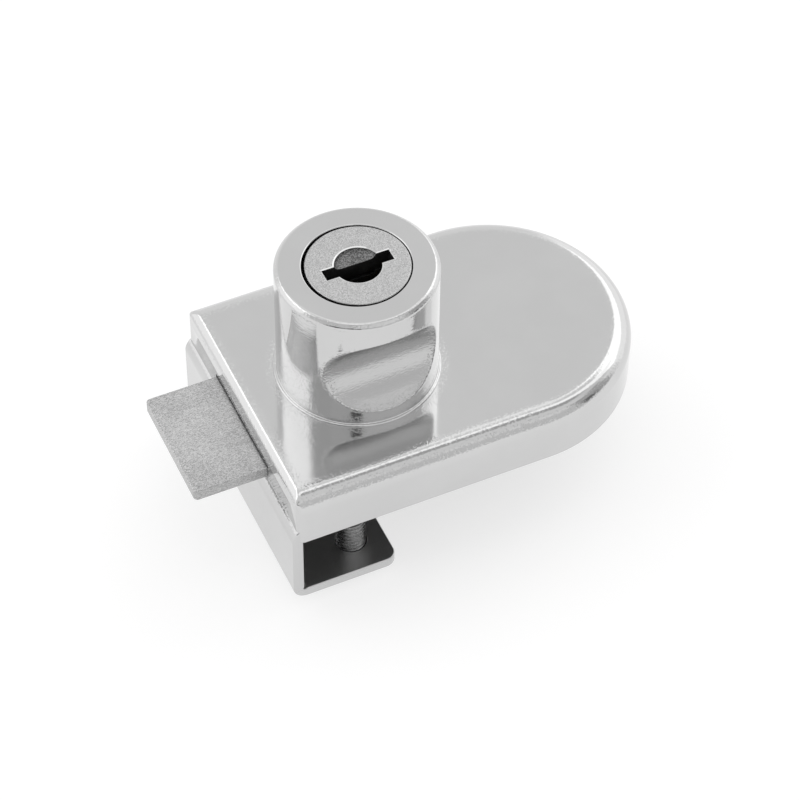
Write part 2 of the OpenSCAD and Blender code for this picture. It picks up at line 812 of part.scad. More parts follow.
echo(str("Least gap in a wafer spring: ",
    coil_gap(wspring_r, wspring_wire / 2, wspring_run, wspring_turns), " mm"));

module clamp_screw(side) {
    color("slategray")
    translate([clamp_cx, side * clamp_cy, 0])
        difference() {
            rod(clamp_r, clamp_z0, clamp_z1);
            translate([0, 0, clamp_z0 - eps])
                cylinder(r = hex_af / (2 * cos(30)), h = hex_depth + eps, $fn = 6);
            rod(stem_d / 2, clamp_z1 - stem_l - 0.1, clamp_z1 + eps);
        }
}

module clamp_tip(side) {
    color("ivory")
    translate([clamp_cx, side * clamp_cy, 0]) {
        rod(tip_d / 2, clamp_z1, clamp_z1 + tip_h);
        rod(stem_d / 2, clamp_z1 - stem_l, clamp_z1 + 0.1);
    }
}

// Countersunk screw from the plate's underside upward; extra lengthens it downward as a cutter
module plate_screw_form(extra) {
    translate([0, 0, extra])
        cylinder(r1 = pscrew_head_d / 2, r2 = pscrew_r, h = sheet_t);
    if (extra > 0)
        cylinder(r = pscrew_head_d / 2, h = extra);
    translate([0, 0, extra])
        cylinder(r = pscrew_r, h = sheet_t + extra);
}

module plate_screws() {
    color("darkgray")
    for (p = pscrew_places)
        translate([p[0], p[1], plate_z0])
            difference() {
                union() {
                    plate_screw_form(0);
                    cylinder(r = pscrew_r, h = pscrew_tip_z - plate_z0);
                }
                for (a = [0, 90])
                    rotate([0, 0, a])
                        translate([-cross_l / 2, -cross_w / 2, -eps])
                            cube([cross_l, cross_w, cross_depth + eps]);
            }
}

casing();
clamp_bracket();
glass_pad();
bolt();
plug();
plug_retaining_clip();
crank();
crank_pin();
crank_screw();
stop_pins();
bolt_brake_spring();
wafer(0);  // wafer_1
wafer(1);  // wafer_2
wafer(2);  // wafer_3
wafer(3);  // wafer_4
wafer(4);  // wafer_5
wafer_springs();
clamp_screw(-1);  // clamp_screw_near
clamp_screw(1);  // clamp_screw_far
clamp_tip(-1);  // clamp_tip_near
clamp_tip(1);  // clamp_tip_far
plate_screws();
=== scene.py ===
"""Glass cabinet door lock: the looks of its outer pieces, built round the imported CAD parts."""

import json
import math

import bmesh
import bpy
from mathutils import Matrix, Vector


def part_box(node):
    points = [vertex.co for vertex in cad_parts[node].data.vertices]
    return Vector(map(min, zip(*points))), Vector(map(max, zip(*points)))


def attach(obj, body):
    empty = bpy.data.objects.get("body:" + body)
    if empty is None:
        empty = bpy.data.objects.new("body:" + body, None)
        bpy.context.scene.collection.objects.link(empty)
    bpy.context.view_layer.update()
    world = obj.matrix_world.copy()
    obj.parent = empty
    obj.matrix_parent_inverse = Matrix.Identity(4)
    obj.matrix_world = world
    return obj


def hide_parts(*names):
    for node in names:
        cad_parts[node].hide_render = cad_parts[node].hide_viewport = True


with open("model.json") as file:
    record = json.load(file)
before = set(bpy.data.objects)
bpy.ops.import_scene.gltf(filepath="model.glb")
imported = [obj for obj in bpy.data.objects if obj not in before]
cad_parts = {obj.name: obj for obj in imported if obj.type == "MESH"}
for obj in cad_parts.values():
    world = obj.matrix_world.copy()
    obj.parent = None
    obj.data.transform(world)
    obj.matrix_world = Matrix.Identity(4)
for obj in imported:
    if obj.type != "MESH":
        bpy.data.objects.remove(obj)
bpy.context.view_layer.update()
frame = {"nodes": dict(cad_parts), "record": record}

bl_info = {
    "name": "Glass cabinet door lock",
    "version": (1, 0, 0),
    "blender": (4, 5, 0),
    "location": "3D View > Sidebar > Door lock",
    "description": "Builds the casing, barrel, bolt, bracket and screws of the lock, "
                   "with their finishes",
    "category": "Object",
}

MM = 0.001


def in_mm(corners):
    """The corners of a box, in millimetres."""
    return [corner / MM for corner in corners]


# Places that the CAD parts give, in millimetres
CASE_LO, CASE_HI = in_mm(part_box("casing"))
BOLT_LO, BOLT_HI = in_mm(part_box("bolt"))
BRACKET_LO, BRACKET_HI = in_mm(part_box("clamp_bracket"))
PAD_LO, PAD_HI = in_mm(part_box("glass_pad"))
PLUG_HI = in_mm(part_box("plug"))[1]
SCREW_LO, SCREW_HI = in_mm(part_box("clamp_screw_near"))
PIN = sum(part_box("crank_pin"), Vector()) / 2 / MM

FLAT_X = CASE_LO.x
CASE_Z0 = CASE_LO.z
END_R = CASE_HI.y
END_CX = CASE_HI.x - END_R
RIM_Z = CASE_HI.z

# Habits of the mesh work, in millimetres
HOLD = 0.1      # how far beside a rounding a row stands that holds its shape
PAST = 1.0      # how far a cutter reaches past what it cuts
MERGE = 1e-4    # points nearer than this become one


def length(value, name, description):
    """A length property, given here in millimetres."""
    return bpy.props.FloatProperty(
        name=name, description=description, default=value * MM, min=0.0,
        precision=6, unit="LENGTH")


def share(value, name, description):
    """A plain number from 0 to 1."""
    return bpy.props.FloatProperty(
        name=name, description=description, default=value, min=0.0, max=1.0,
        precision=4, subtype="FACTOR")


def tint(rgb, name, description):
    """A linear colour."""
    return bpy.props.FloatVectorProperty(
        name=name, description=description, default=rgb, min=0.0, max=1.0,
        size=3, subtype="COLOR")


class LockCasingSizes(bpy.types.PropertyGroup):
    """Sizes of the D-shaped casing and its barrel."""
    case_h: length(8.2, "Casing height", "Lower edge to top face")
    roof_t: length(1.8, "Roof", "Thickness of the casing's roof")
    wall_t: length(1.8, "Side wall", "Thickness of the casing's side walls")
    end_wall_t: length(2.0, "End wall", "Thickness of the flat end wall")
    top_r: length(2.5, "Top rounding", "Rounding of the top edge along the sides")
    end_bevel: length(0.8, "End bevel", "Bevel on the top edge of the flat end")
    bevel_r: length(0.8, "Bevel rounding", "Rounding of the end bevel's edges")
    corner_r: length(1.0, "Corner rounding", "Rounding of the upright corners")
    foot_r: length(0.25, "Lower edge", "Rounding of the casing's lower edge")
    barrel_r: length(10.5, "Barrel radius", "Radius of the upright barrel")
    rim_bevel: length(0.5, "Rim bevel", "Bevel round the barrel's rim")
    rim_r: length(0.5, "Rim rounding", "Rounding of the rim bevel's edges")
    ring_w: length(0.42, "Foot ring width", "Width of the ring round the barrel's foot")
    ring_h: length(0.22, "Foot ring height", "Height of the ring round the barrel's foot")
    scoop_r: length(7.3, "Scoop radius", "Radius of the hollow across the barrel")
    scoop_y: length(14.4, "Scoop distance", "Distance from the barrel's axis to the scoop's")
    scoop_h: length(8.4, "Scoop height", "Height of the scoop's middle over the top face")
    scoop_edge: length(0.26, "Scoop edge", "Softness of the scoop's edge")


class LockBracketSizes(bpy.types.PropertyGroup):
    """Sizes of the bent clamp bracket and the glass pad."""
    sheet_t: length(1.5, "Sheet", "Thickness of the steel sheet")
    bend_r: length(1.0, "Upper bend", "Inside radius under the end wall")
    lip_bend_r: length(0.5, "Lip bend", "Inside radius at the lip")
    lip_corner_r: length(1.6, "Lip corners", "Rounding of the lip's corners")
    groove: length(0.3, "Corner groove", "Depth of the groove coined inside the lip bend")
    edge: length(0.2, "Edge", "Rounding of the sheet's edges")
    collar_t: length(1.5, "Collar wall", "Wall of the threaded collars")
    screw_gap: length(0.05, "Screw gap", "Gap round the clamp screws")


class LockScrewSizes(bpy.types.PropertyGroup):
    """Sizes of the clamp screws and their soft tips."""
    pitch: length(0.7, "Pitch", "Pitch of the thread")
    thread_depth: length(0.42, "Thread depth", "Depth of the thread")
    hex_af: length(2.0, "Hexagon", "Width across the flats of the socket")
    hex_depth: length(2.5, "Socket depth", "Depth of the hexagon socket")
    stem_r: length(0.95, "Stem radius", "Radius of the soft tip's stem")


class LockKeyholeSizes(bpy.types.PropertyGroup):
    """Sizes of the key plug's face."""
    head_h: length(3.0, "Head height", "Height of the plug's head")
    socket_r: length(3.05, "Socket radius", "Radius of the round key socket")
    keyway_l: length(9.2, "Keyway length", "Length of the slot across the plug")
    keyway_w: length(1.8, "Keyway width", "Width of the slot")
    chamfer: length(0.16, "Keyhole chamfer", "Width of the chamfer round the keyhole")
    ledge: length(0.8, "Ledge depth", "Depth of the shallow far half of the keyhole")
    ledge_r: length(1.0, "Ledge fillet", "Fillet between the ledge and the socket's wall")
    head_gap: length(0.04, "Head gap", "How much smaller the head's face is than the bore allows")
    off_x: length(0.17, "Off centre X", "How far the head sits off the bore's axis in its play")
    off_y: length(0.08, "Off centre Y", "How far the head sits off the bore's axis in its play")


class LockBoltSizes(bpy.types.PropertyGroup):
    """Sizes of the sliding bolt."""
    head_w: length(17.0, "Head width", "Width of the bolt's head")
    corner_r: length(0.6, "Corner rounding", "Rounding of the bolt's outer corners")
    edge: length(0.12, "Edge", "Rounding of the bolt's edges")
    shoulder_x: length(0.3, "Shoulder gap", "Gap between shoulders and end wall")
    slot_r: length(1.8, "Slot radius", "Half the width of the crank slot")


class LockFinishes(bpy.types.PropertyGroup):
    """Colours and gloss of the finishes, each colour under its finish's name."""
    chrome_casting: tint((0.62, 0.62, 0.62), "Chrome", "Reflected colour of the plated casting")
    chrome_gloss: share(0.045, "Chrome roughness", "Roughness of the plated casting")
    chrome_sheet: tint((0.61, 0.61, 0.61), "Plated sheet", "Reflected colour of the bracket")
    sheet_gloss: share(0.06, "Sheet roughness", "Roughness of the bracket")
    bolt_steel: tint((0.45, 0.45, 0.45), "Bolt steel", "Reflected colour of the bolt")
    satin_zinc: tint((0.47, 0.47, 0.47), "Plug face", "Reflected colour of the plug")
    # Painted shade: this dark colour stands in for the shade inside the casing, the keyhole and
    # the gap round the plug, not for unplated metal.
    recess: tint((0.1, 0.1, 0.1), "Keyway", "Reflected colour of unplated insides")
    # Painted shade: the ledge is darker than the plug face to stand in for the keyhole's shade.
    ledge: tint((0.2, 0.2, 0.2), "Ledge", "Reflected colour of the keyhole's shallow half")
    dark_steel: tint((0.46, 0.46, 0.46), "Dark steel", "Colour of screws and pins")
    spring_steel: tint((0.42, 0.44, 0.48), "Spring steel", "Colour of the springs")
    yellow_brass: tint((0.72, 0.56, 0.26), "Brass", "Colour of the wafers and crank")
    rubber_pad: tint((0.045, 0.045, 0.045), "Rubber", "Colour of the glass pad")
    nylon: tint((0.8, 0.79, 0.74), "Nylon", "Colour of the soft tips")


class LockStageSettings(bpy.types.PropertyGroup):
    """Floor, light and camera."""
    floor: tint((0.38, 0.38, 0.38), "Floor", "Colour of the floor")
    floor_glow: share(0.66, "Floor glow",
                      "White that the floor shows to the camera and in mirrors")
    lamp_power: bpy.props.FloatProperty(
        name="Lamp", description="Power of the soft lamp", default=0.05, min=0.0, unit="POWER")
    lens: bpy.props.FloatProperty(
        name="Lens", description="Focal length of the camera, in millimetres", default=137.04,
        min=1.0)


GROUPS = {
    "lock_casing": LockCasingSizes,
    "lock_bracket": LockBracketSizes,
    "lock_screws": LockScrewSizes,
    "lock_keyhole": LockKeyholeSizes,
    "lock_bolt": LockBoltSizes,
    "lock_finishes": LockFinishes,
    "lock_stage": LockStageSettings,
}


class Sizes:
    """Reads a group's lengths in millimetres."""

    def __init__(self, group):
        self.group = group

    def __getattr__(self, name):
        return getattr(self.group, name) / MM


def sizes(context, name):
    """The lengths of one of the scene's groups."""
    return Sizes(getattr(context.scene, name))


# Lines and rows of points, in millimetres


def arc(cx, cy, r, a0, a1, steps):
    """Points on an arc, with both ends."""
    angles = [a0 + (a1 - a0) * k / steps for k in range(steps + 1)]
    return [(cx + r * math.cos(a), cy + r * math.sin(a)) for a in angles]


def rounded(corners, steps=5, closed=True):
    """A line whose corners (x, y, radius) are rounded, each held by a point beside it."""
    beside = 0.04
    line = []
    count = len(corners)
    for i, (x, y, r) in enumerate(corners):
        here = Vector((x, y))
        if r == 0 or (not closed and i in (0, count - 1)):
            line.append(here)
            continue
        back = (Vector(corners[i - 1][:2]) - here).normalized()
        ahead = (Vector(corners[(i + 1) % count][:2]) - here).normalized()
        half = back.angle(ahead) / 2
        reach = r / math.tan(half)
        middle = here + (back + ahead).normalized() * (r / math.sin(half))
        start = here + back * reach - middle
        turn = start.angle_signed(here + ahead * reach - middle)
        line.append(here + back * (reach + beside))
        for k in range(steps + 1):
            line.append(middle + Matrix.Rotation(-turn * k / steps, 2) @ start)
        line.append(here + ahead * (reach + beside))
    return [tuple(p) for p in line]


def d_row(x0, half, corner, z):
    """One D-shaped row of points at a height: the flat end at x0, the round end about END_CX."""
    beside, before_end, corner_steps, end_steps = 0.06, 0.3, 8, 72
    line = [(x0, half - corner - beside), (x0, -half + corner + beside)]
    line += arc(x0 + corner, -half + corner, corner, math.pi, 1.5 * math.pi, corner_steps)
    line += [(x0 + corner + beside, -half), (END_CX - before_end, -half)]
    line += arc(END_CX, 0, half, -math.pi / 2, math.pi / 2, end_steps)
    line += [(END_CX - before_end, half), (x0 + corner + beside, half)]
    line += arc(x0 + corner, half - corner, corner, math.pi / 2, math.pi, corner_steps)
    return [(x, y, z) for x, y in line]


# Mesh work


def merge(bm, distance=MERGE):
    """Makes one of the points that lie together."""
    bmesh.ops.remove_doubles(bm, verts=bm.verts, dist=distance)


def slice_at(bm, place, way, clear=False):
    """Cuts a mesh along a plane, and clears what lies beyond it if asked."""
    bmesh.ops.bisect_plane(bm, geom=bm.verts[:] + bm.edges[:] + bm.faces[:], plane_co=place,
                           plane_no=way, clear_outer=clear, dist=1e-5)


def loft(bm, rows):
    """Extrudes a closed ring of points row by row, and closes its ends."""
    ring = [bm.verts.new(p) for p in rows[0]]
    edges = [bm.edges.new((a, b)) for a, b in zip(ring, ring[1:] + ring[:1])]
    bm.faces.new(ring)
    for row in rows[1:]:
        made = bmesh.ops.extrude_edge_only(bm, edges=edges)["geom"]
        fresh = {v for v in made if isinstance(v, bmesh.types.BMVert)}
        edges = [e for e in made if isinstance(e, bmesh.types.BMEdge)
                 and e.verts[0] in fresh and e.verts[1] in fresh]
        following = []
        for v, place in zip(ring, row):
            new = next(e.other_vert(v) for e in v.link_edges if e.other_vert(v) in fresh)
            new.co = place
            following.append(new)
        ring = following
    bm.faces.new(ring)


def lathe(bm, line, steps, closed, centre=(0.0, 0.0)):
    """Spins a line of (radius, height) once round an upright axis."""
    verts = [bm.verts.new((centre[0] + r, centre[1], z)) for r, z in line]
    pairs = list(zip(verts, verts[1:]))
    if closed:
        pairs.append((verts[-1], verts[0]))
    edges = [bm.edges.new(pair) for pair in pairs]
    bmesh.ops.spin(bm, geom=verts + edges, cent=(centre[0], centre[1], 0), axis=(0, 0, 1),
                   angle=2 * math.pi, steps=steps, use_merge=True)
    merge(bm)


def prism(bm, outline, z0, z1, edge=0.0, segments=3):
    """An outline pulled up between two heights, its rims rounded."""
    floor = bm.faces.new([bm.verts.new((x, y, z0)) for x, y in outline])
    raised = bmesh.ops.extrude_face_region(bm, geom=[floor], use_keep_orig=True)["geom"]
    top = [v for v in raised if isinstance(v, bmesh.types.BMVert)]
    bmesh.ops.translate(bm, vec=(0, 0, z1 - z0), verts=top)
    bmesh.ops.recalc_face_normals(bm, faces=bm.faces)
    if edge:
        rims = [e for e in bm.edges if abs(e.verts[0].co.z - e.verts[1].co.z) < 1e-6]
        bmesh.ops.bevel(bm, geom=rims, offset=edge, segments=segments, profile=0.5,
                        affect="EDGES", material=-1)


def block(bm, x0, x1, y0, y1, z0, z1):
    """A box between two corners, used as a cutter."""
    made = bmesh.ops.create_cube(bm, size=1)["verts"]
    bmesh.ops.scale(bm, vec=(x1 - x0, y1 - y0, z1 - z0), verts=made)
    bmesh.ops.translate(bm, vec=((x0 + x1) / 2, (y0 + y1) / 2, (z0 + z1) / 2), verts=made)


def rod(bm, x, y, r, z0, z1, steps=64):
    """A plain cylinder between two heights, used as a cutter."""
    made = bmesh.ops.create_cone(bm, cap_ends=True, segments=steps, radius1=r, radius2=r,
                                 depth=z1 - z0)["verts"]
    bmesh.ops.translate(bm, vec=(x, y, (z0 + z1) / 2), verts=made)


def mesh_object(name, bm):
    """The finished bmesh as an object at the origin, in metres."""
    bmesh.ops.recalc_face_normals(bm, faces=bm.faces)
    bmesh.ops.scale(bm, vec=(MM, MM, MM), verts=bm.verts)
    mesh = bpy.data.meshes.new(name)
    bm.to_mesh(mesh)
    bm.free()
    obj = bpy.data.objects.new(name, mesh)
    bpy.context.scene.collection.objects.link(obj)
    return obj


def cut(obj, *cutters):
    """Cuts the shapes that the cutter functions draw out of a piece, one by one."""
    for draw in cutters:
        bm = bmesh.new()
        draw(bm)
        cutter = mesh_object("cutter", bm)
        step = obj.modifiers.new("cut", "BOOLEAN")
        step.operation = "DIFFERENCE"
        step.solver = "EXACT"
        step.object = cutter
        graph = bpy.context.evaluated_depsgraph_get()
        graph.update()
        made = bpy.data.meshes.new_from_object(obj.evaluated_get(graph))
        obj.modifiers.clear()
        old, obj.data = obj.data, made
        made.name = obj.name
        bpy.data.meshes.remove(old)
        bpy.data.objects.remove(cutter)


def dress(obj, body, slot, *nodes, finish=None, crease=None):
    """Gives a new piece its finish and body, and lets it stand for its CAD nodes."""
    mesh = obj.data
    mesh.materials.clear()
    mesh.materials.append(finish_of(finish or slot))
    mesh.polygons.foreach_set("use_smooth", [True] * len(mesh.polygons))
    weighted = obj.modifiers.new("even_shading", "WEIGHTED_NORMAL")
    weighted.weight = 50
    if crease:
        mesh.set_sharp_from_angle(angle=math.radians(crease))
    weighted.keep_sharp = crease is not None
    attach(obj, body)
    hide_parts(*nodes)


# Materials


class Board:
    """Places nodes in a tree and joins them."""

    def __init__(self, tree):
        self.tree = tree
        self.tree.nodes.clear()

    def add(self, kind, **values):
        node = self.tree.nodes.new(kind)
        for key, value in values.items():
            setattr(node, key, value)
        return node

    def link(self, source, target):
        self.tree.links.new(source, target)

    def feed(self, target, value):
        """Sets a socket, or joins another one to it."""
        if isinstance(value, bpy.types.NodeSocket):
            self.link(value, target)
        else:
            target.default_value = value

    def place(self):
        """The piece's own coordinates, in metres."""
        return self.add("ShaderNodeTexCoord").outputs["Object"]

    def split(self, vector):
        """The three numbers of a vector."""
        node = self.add("ShaderNodeSeparateXYZ")
        self.link(vector, node.inputs[0])
        return node.outputs

    def math(self, operation, a, b=0.0):
        node = self.add("ShaderNodeMath", operation=operation)
        for socket, value in zip(node.inputs, (a, b)):
            self.feed(socket, value)
        return node.outputs[0]

    def times(self, a, b):
        return self.math("MULTIPLY", a, b)

    def plus(self, a, b):
        return self.math("ADD", a, b)

    def less(self, a, b):
        return self.math("SUBTRACT", a, b)

    def most(self, a, b):
        return self.math("MAXIMUM", a, b)

    def ramp(self, value, low, high, start=0.0, end=1.0):
        """Goes smoothly from start to end as value goes from low to high."""
        node = self.add("ShaderNodeMapRange", interpolation_type="SMOOTHSTEP")
        for socket, number in zip(node.inputs, (value, low, high, start, end)):
            self.feed(socket, number)
        return node.outputs[0]

    def mix(self, factor, a, b):
        """A number between a and b."""
        node = self.add("ShaderNodeMix", data_type="FLOAT")
        for socket, value in zip(node.inputs[0:1] + node.inputs[2:4], (factor, a, b)):
            self.feed(socket, value)
        return node.outputs[0]

    def blend(self, factor, a, b):
        """A colour between a and b."""
        node = self.add("ShaderNodeMix", data_type="RGBA")
        self.feed(node.inputs[0], factor)
        for socket, value in zip(node.inputs[6:8], (a, b)):
            self.feed(socket, (*value, 1.0) if isinstance(value, tuple) else value)
        return node.outputs[2]

    def noise(self, vector, scale, detail=2.0, roughness=0.5):
        node = self.add("ShaderNodeTexNoise")
        self.link(vector, node.inputs["Vector"])
        self.feed(node.inputs["Scale"], scale)
        node.inputs["Detail"].default_value = detail
        node.inputs["Roughness"].default_value = roughness
        return node.outputs[0]


def new_group(name, inputs, outputs):
    """A shader node group with named number inputs and outputs."""
    tree = bpy.data.node_groups.new(name, "ShaderNodeTree")
    board = Board(tree)
    for label, value in inputs:
        socket = tree.interface.new_socket(label, in_out="INPUT", socket_type="NodeSocketFloat")
        socket.default_value = value
    for label in outputs:
        tree.interface.new_socket(label, in_out="OUTPUT", socket_type="NodeSocketFloat")
    return board, board.add("NodeGroupInput").outputs, board.add("NodeGroupOutput").inputs


def grain_group():
    """Fine grain and streaks along one way, on the piece's own coordinates in metres."""
    board, given, out = new_group(
        "metal_grain",
        [("Grain Size", 0.0002), ("Streak X", 1.0), ("Streak Y", 1.0), ("Blotch Size", 0.004)],
        ["Grain", "Streaks", "Blotches"])
    place = board.place()
    fine = board.math("DIVIDE", 1.0, given["Grain Size"])
    grain = board.noise(place, fine, 3.0, 0.6)
    stretch = board.add("ShaderNodeCombineXYZ")
    board.link(given["Streak X"], stretch.inputs[0])
    board.link(given["Streak Y"], stretch.inputs[1])
    stretch.inputs[2].default_value = 1.0
    drawn = board.add("ShaderNodeVectorMath", operation="MULTIPLY")
    board.link(place, drawn.inputs[0])
    board.link(stretch.outputs[0], drawn.inputs[1])
    streaks = board.noise(drawn.outputs[0], fine, 2.0, 0.6)
    blotch = board.noise(place, board.math("DIVIDE", 1.0, given["Blotch Size"]), 3.0, 0.55)
    board.link(board.ramp(grain, 0.15, 0.85), out["Grain"])
    board.link(board.ramp(streaks, 0.15, 0.85), out["Streaks"])
    board.link(board.ramp(blotch, 0.35, 0.65), out["Blotches"])
    return board.tree


def plating_group():
    """The slow swell of a plated surface, faint haze and sparse pits."""
    board, given, out = new_group(
        "plating", [("Swell Size", 0.003), ("Pit Size", 0.0006)], ["Swell", "Haze", "Pits"])
    place = board.place()
    swell = board.noise(place, board.math("DIVIDE", 1.0, given["Swell Size"]), 1.5, 0.4)
    haze = board.noise(place, board.math("DIVIDE", 0.35, given["Swell Size"]), 3.0, 0.6)
    pits = board.noise(place, board.math("DIVIDE", 1.0, given["Pit Size"]), 1.0, 0.4)
    board.link(swell, out["Swell"])
    board.link(board.ramp(haze, 0.4, 0.7), out["Haze"])
    board.link(board.ramp(pits, 0.68, 0.78), out["Pits"])
    return board.tree


def use_group(board, tree, values):
    """Places a group with its inputs set in order, and gives its outputs."""
    node = board.add("ShaderNodeGroup", node_tree=tree)
    for socket, value in zip(node.inputs, values):
        socket.default_value = value
    return node.outputs


def make_finish(slot, rgb, tree, values, surface, low, high, shine, depth, metallic=1.0):
    """A finish whose surface function draws tone, gloss and height from a group's outputs.

    The tone goes from low to high times the colour, the gloss from one roughness of shine to the
    other, and the height is a bump of that depth in metres.
    """
    material = bpy.data.materials.new(slot + "_finish")
    material.use_nodes = True
    board = Board(material.node_tree)
    shader = board.add("ShaderNodeBsdfPrincipled")
    board.link(shader.outputs[0], board.add("ShaderNodeOutputMaterial").inputs[0])
    tone, gloss, height = surface(board, use_group(board, tree, values))
    dark, light = (tuple(min(1.0, c * factor) for c in rgb) for factor in (low, high))
    board.link(board.blend(tone, dark, light), shader.inputs["Base Color"])
    board.link(board.mix(gloss, *shine), shader.inputs["Roughness"])
    bump = board.add("ShaderNodeBump")
    bump.inputs["Strength"].default_value = 1.0
    bump.inputs["Distance"].default_value = depth
    board.link(height, bump.inputs["Height"])
    board.link(bump.outputs[0], shader.inputs["Normal"])
    shader.inputs["Metallic"].default_value = metallic


# How strongly specks of plating show in each zone, where 1 is the strength on the casing's edges
FOOT_SPECKS, SCOOP_EDGE_SPECKS, RIM_SPECKS, END_SIDE_SPECKS = 0.55, 1.8, 0.5, 0.6
BRIGHT_LINE_SPECKS, ROUND_END_SPECKS, FLAT_TOP_SPECKS = 0.3, 0.45, 0.6


def casing_zones(board, s):
    """Masks of the casing: near its edges, in the scoop, on its flat top and on the barrel's wall.

    The numbers of each ramp are places in millimetres: where the mask starts and where it is full.
    """
    top_z = CASE_Z0 + s.case_h
    x, y, z = (board.math("DIVIDE", axis, MM) for axis in board.split(board.place()))

    def distance(a, b):
        return board.math("SQRT", board.plus(board.times(a, a), board.times(b, b)))

    behind = board.most(board.less(x, END_CX), 0.0)
    side = board.ramp(distance(behind, y), END_R - s.top_r - 0.9, END_R - s.top_r + 0.1)
    end = board.ramp(x, FLAT_X + 2.6, FLAT_X + 0.9)
    from_axis = distance(x, y)
    foot = board.times(board.ramp(from_axis, s.barrel_r + 2.2, s.barrel_r + 0.4),
                       board.ramp(z, top_z + 2.4, top_z + 0.4))
    hollow = distance(board.plus(y, s.scoop_y), board.less(z, top_z + s.scoop_h))
    from_edge = board.math("ABSOLUTE", board.less(hollow, s.scoop_r))
    scoop_edge = board.times(board.ramp(from_edge, 0.6, 0.1),
                             board.ramp(from_axis, s.barrel_r - 1.2, s.barrel_r - 0.3))
    rim = board.times(board.ramp(z, RIM_Z - 1.4, RIM_Z - 0.5),
                      board.ramp(from_axis, s.barrel_r - 0.9, s.barrel_r - 0.4))
    bright_line = board.times(board.ramp(z, top_z - 0.55, top_z - 0.45),
                              board.ramp(z, top_z - 0.02, top_z - 0.06))
    on_case = board.times(board.most(side, end),
                          board.times(board.ramp(z, top_z + 0.5, top_z + 0.2),
                                      board.ramp(z, top_z - 2.1, top_z - 0.9)))
    calmer = board.times(board.mix(bright_line, 1.0, BRIGHT_LINE_SPECKS),
                         board.ramp(x, END_CX - 4, END_CX + 4, 1.0, ROUND_END_SPECKS))
    calmer = board.times(calmer, board.ramp(z, top_z - 0.1, top_z - 0.02, 1.0, FLAT_TOP_SPECKS))
    edges = board.most(board.most(board.times(on_case, calmer), board.times(foot, FOOT_SPECKS)),
                       board.most(board.times(scoop_edge, SCOOP_EDGE_SPECKS),
                                  board.times(rim, RIM_SPECKS)))
    scoop = board.times(board.ramp(hollow, s.scoop_r + 0.15, s.scoop_r + 0.03),
                        board.ramp(from_axis, s.barrel_r + 0.1, s.barrel_r - 0.1))
    flat = board.times(board.ramp(z, top_z - 0.06, top_z - 0.01),
                       board.ramp(z, top_z + 0.06, top_z + 0.01))
    wall = board.times(board.ramp(z, top_z + 0.4, top_z + 0.9), board.less(1.0, scoop))
    end_side = board.times(board.ramp(x, -7.2, -9.2), board.ramp(z, top_z + 9.5, top_z + 3.5))
    edges = board.most(edges, board.times(board.times(end_side, wall), END_SIDE_SPECKS))
    return {"edges": edges, "scoop": scoop, "flat": flat, "wall": wall}


def marks(board, stretch, scale, mask, height):
    """Noise stretched along some axes, where a mask lets it show."""
    along = board.add("ShaderNodeVectorMath", operation="MULTIPLY")
    board.link(board.place(), along.inputs[0])
    along.inputs[1].default_value = stretch
    noise = board.noise(along.outputs[0], scale, 2.0, 0.6)
    return board.times(board.times(noise, mask), height)


def specks(board, mask, height):
    """Small lumps of uneven plating, where a mask lets them show."""
    fine = board.noise(board.place(), 3300.0, 2.0, 0.6)
    lumps = board.plus(board.times(board.ramp(fine, 0.52, 0.7), 0.7), fine)
    return board.times(board.times(lumps, mask), height)


# Surface functions: each draws a finish's tone, gloss and height from the outputs of its group


def cast_surface(board, out, s):
    """Plated casting, softer on the flat top, satin in the scoop and darker there with painted
    shade, with tool marks.
    """
    zones = casing_zones(board, s)
    full = board.plus(0.8, board.times(out["Haze"], 0.2))
    # Painted shade: the tone drops in the scoop, so the hollow is darker.
    tone = board.less(full, board.times(zones["scoop"], 0.8))
    flat_gloss = board.times(zones["flat"], 0.25)
    gloss = board.most(board.times(zones["scoop"], 0.75),
                       board.most(board.times(out["Haze"], 0.17), flat_gloss))
    calm = board.less(out["Swell"], board.times(out["Pits"], 0.12))
    rough = board.plus(specks(board, zones["edges"], 1.9),
                       marks(board, (0.3, 1.0, 1.0), 4200.0, zones["scoop"], 2.4))
    turned = marks(board, (0.12, 0.12, 1.0), 4500.0, zones["wall"], 0.6)
    return tone, gloss, board.plus(calm, board.plus(rough, turned))


def sheet_surface(board, out):
    """Plated sheet, duller on the lip and most on its top, with specks along the upper bend."""
    up = board.split(board.place())[2]
    lip = board.ramp(up, -0.0088, -0.0094)
    lip_top = board.times(lip, board.ramp(up, -0.0099, -0.0097))
    gloss = board.most(board.times(out["Haze"], 0.12),
                       board.plus(board.times(lip, 0.4), board.times(lip_top, 0.35)))
    bend = board.times(board.ramp(up, 0.0014, 0.0021), board.ramp(up, 0.0030, 0.0026))
    calm = board.less(out["Swell"], board.times(out["Pits"], 0.2))
    return out["Haze"], gloss, board.plus(calm, specks(board, bend, 2.0))


def bolt_surface(board, out):
    """Fine sparkling grain over faint clouds."""
    both = board.mix(0.45, out["Grain"], out["Streaks"])
    return board.mix(0.22, board.ramp(both, 0.33, 0.67), out["Blotches"]), out["Blotches"], both


def face_surface(board, out):
    """The plug's satin face."""
    return (board.ramp(out["Grain"], 0.2, 0.8), out["Blotches"],
            board.mix(0.4, out["Grain"], out["Streaks"]))


def ledge_surface(board, out):
    """The rough cast ledge in the keyhole, on a darker colour that is painted shade."""
    return board.ramp(out["Grain"], 0.3, 0.7), out["Blotches"], out["Grain"]


def follow(tone, gloss, height):
    """A surface that follows three outputs of its group as they are."""
    return lambda board, out: (out[tone], out[gloss], out[height])


# Size of the grain, its stretch along X and Y, and the size of the blotches, sizes in metres
BLASTED = (0.00012, 0.3, 1.0, 0.009)
SATIN = (0.00016, 0.35, 1.0, 0.002)
BLACKENED = (0.0002, 1.0, 1.0, 0.0006)
DRAWN = (0.00012, 0.1, 1.0, 0.001)
STAMPED = (0.00015, 1.0, 0.3, 0.002)
MOULDED = (0.0004, 1.0, 1.0, 0.003)

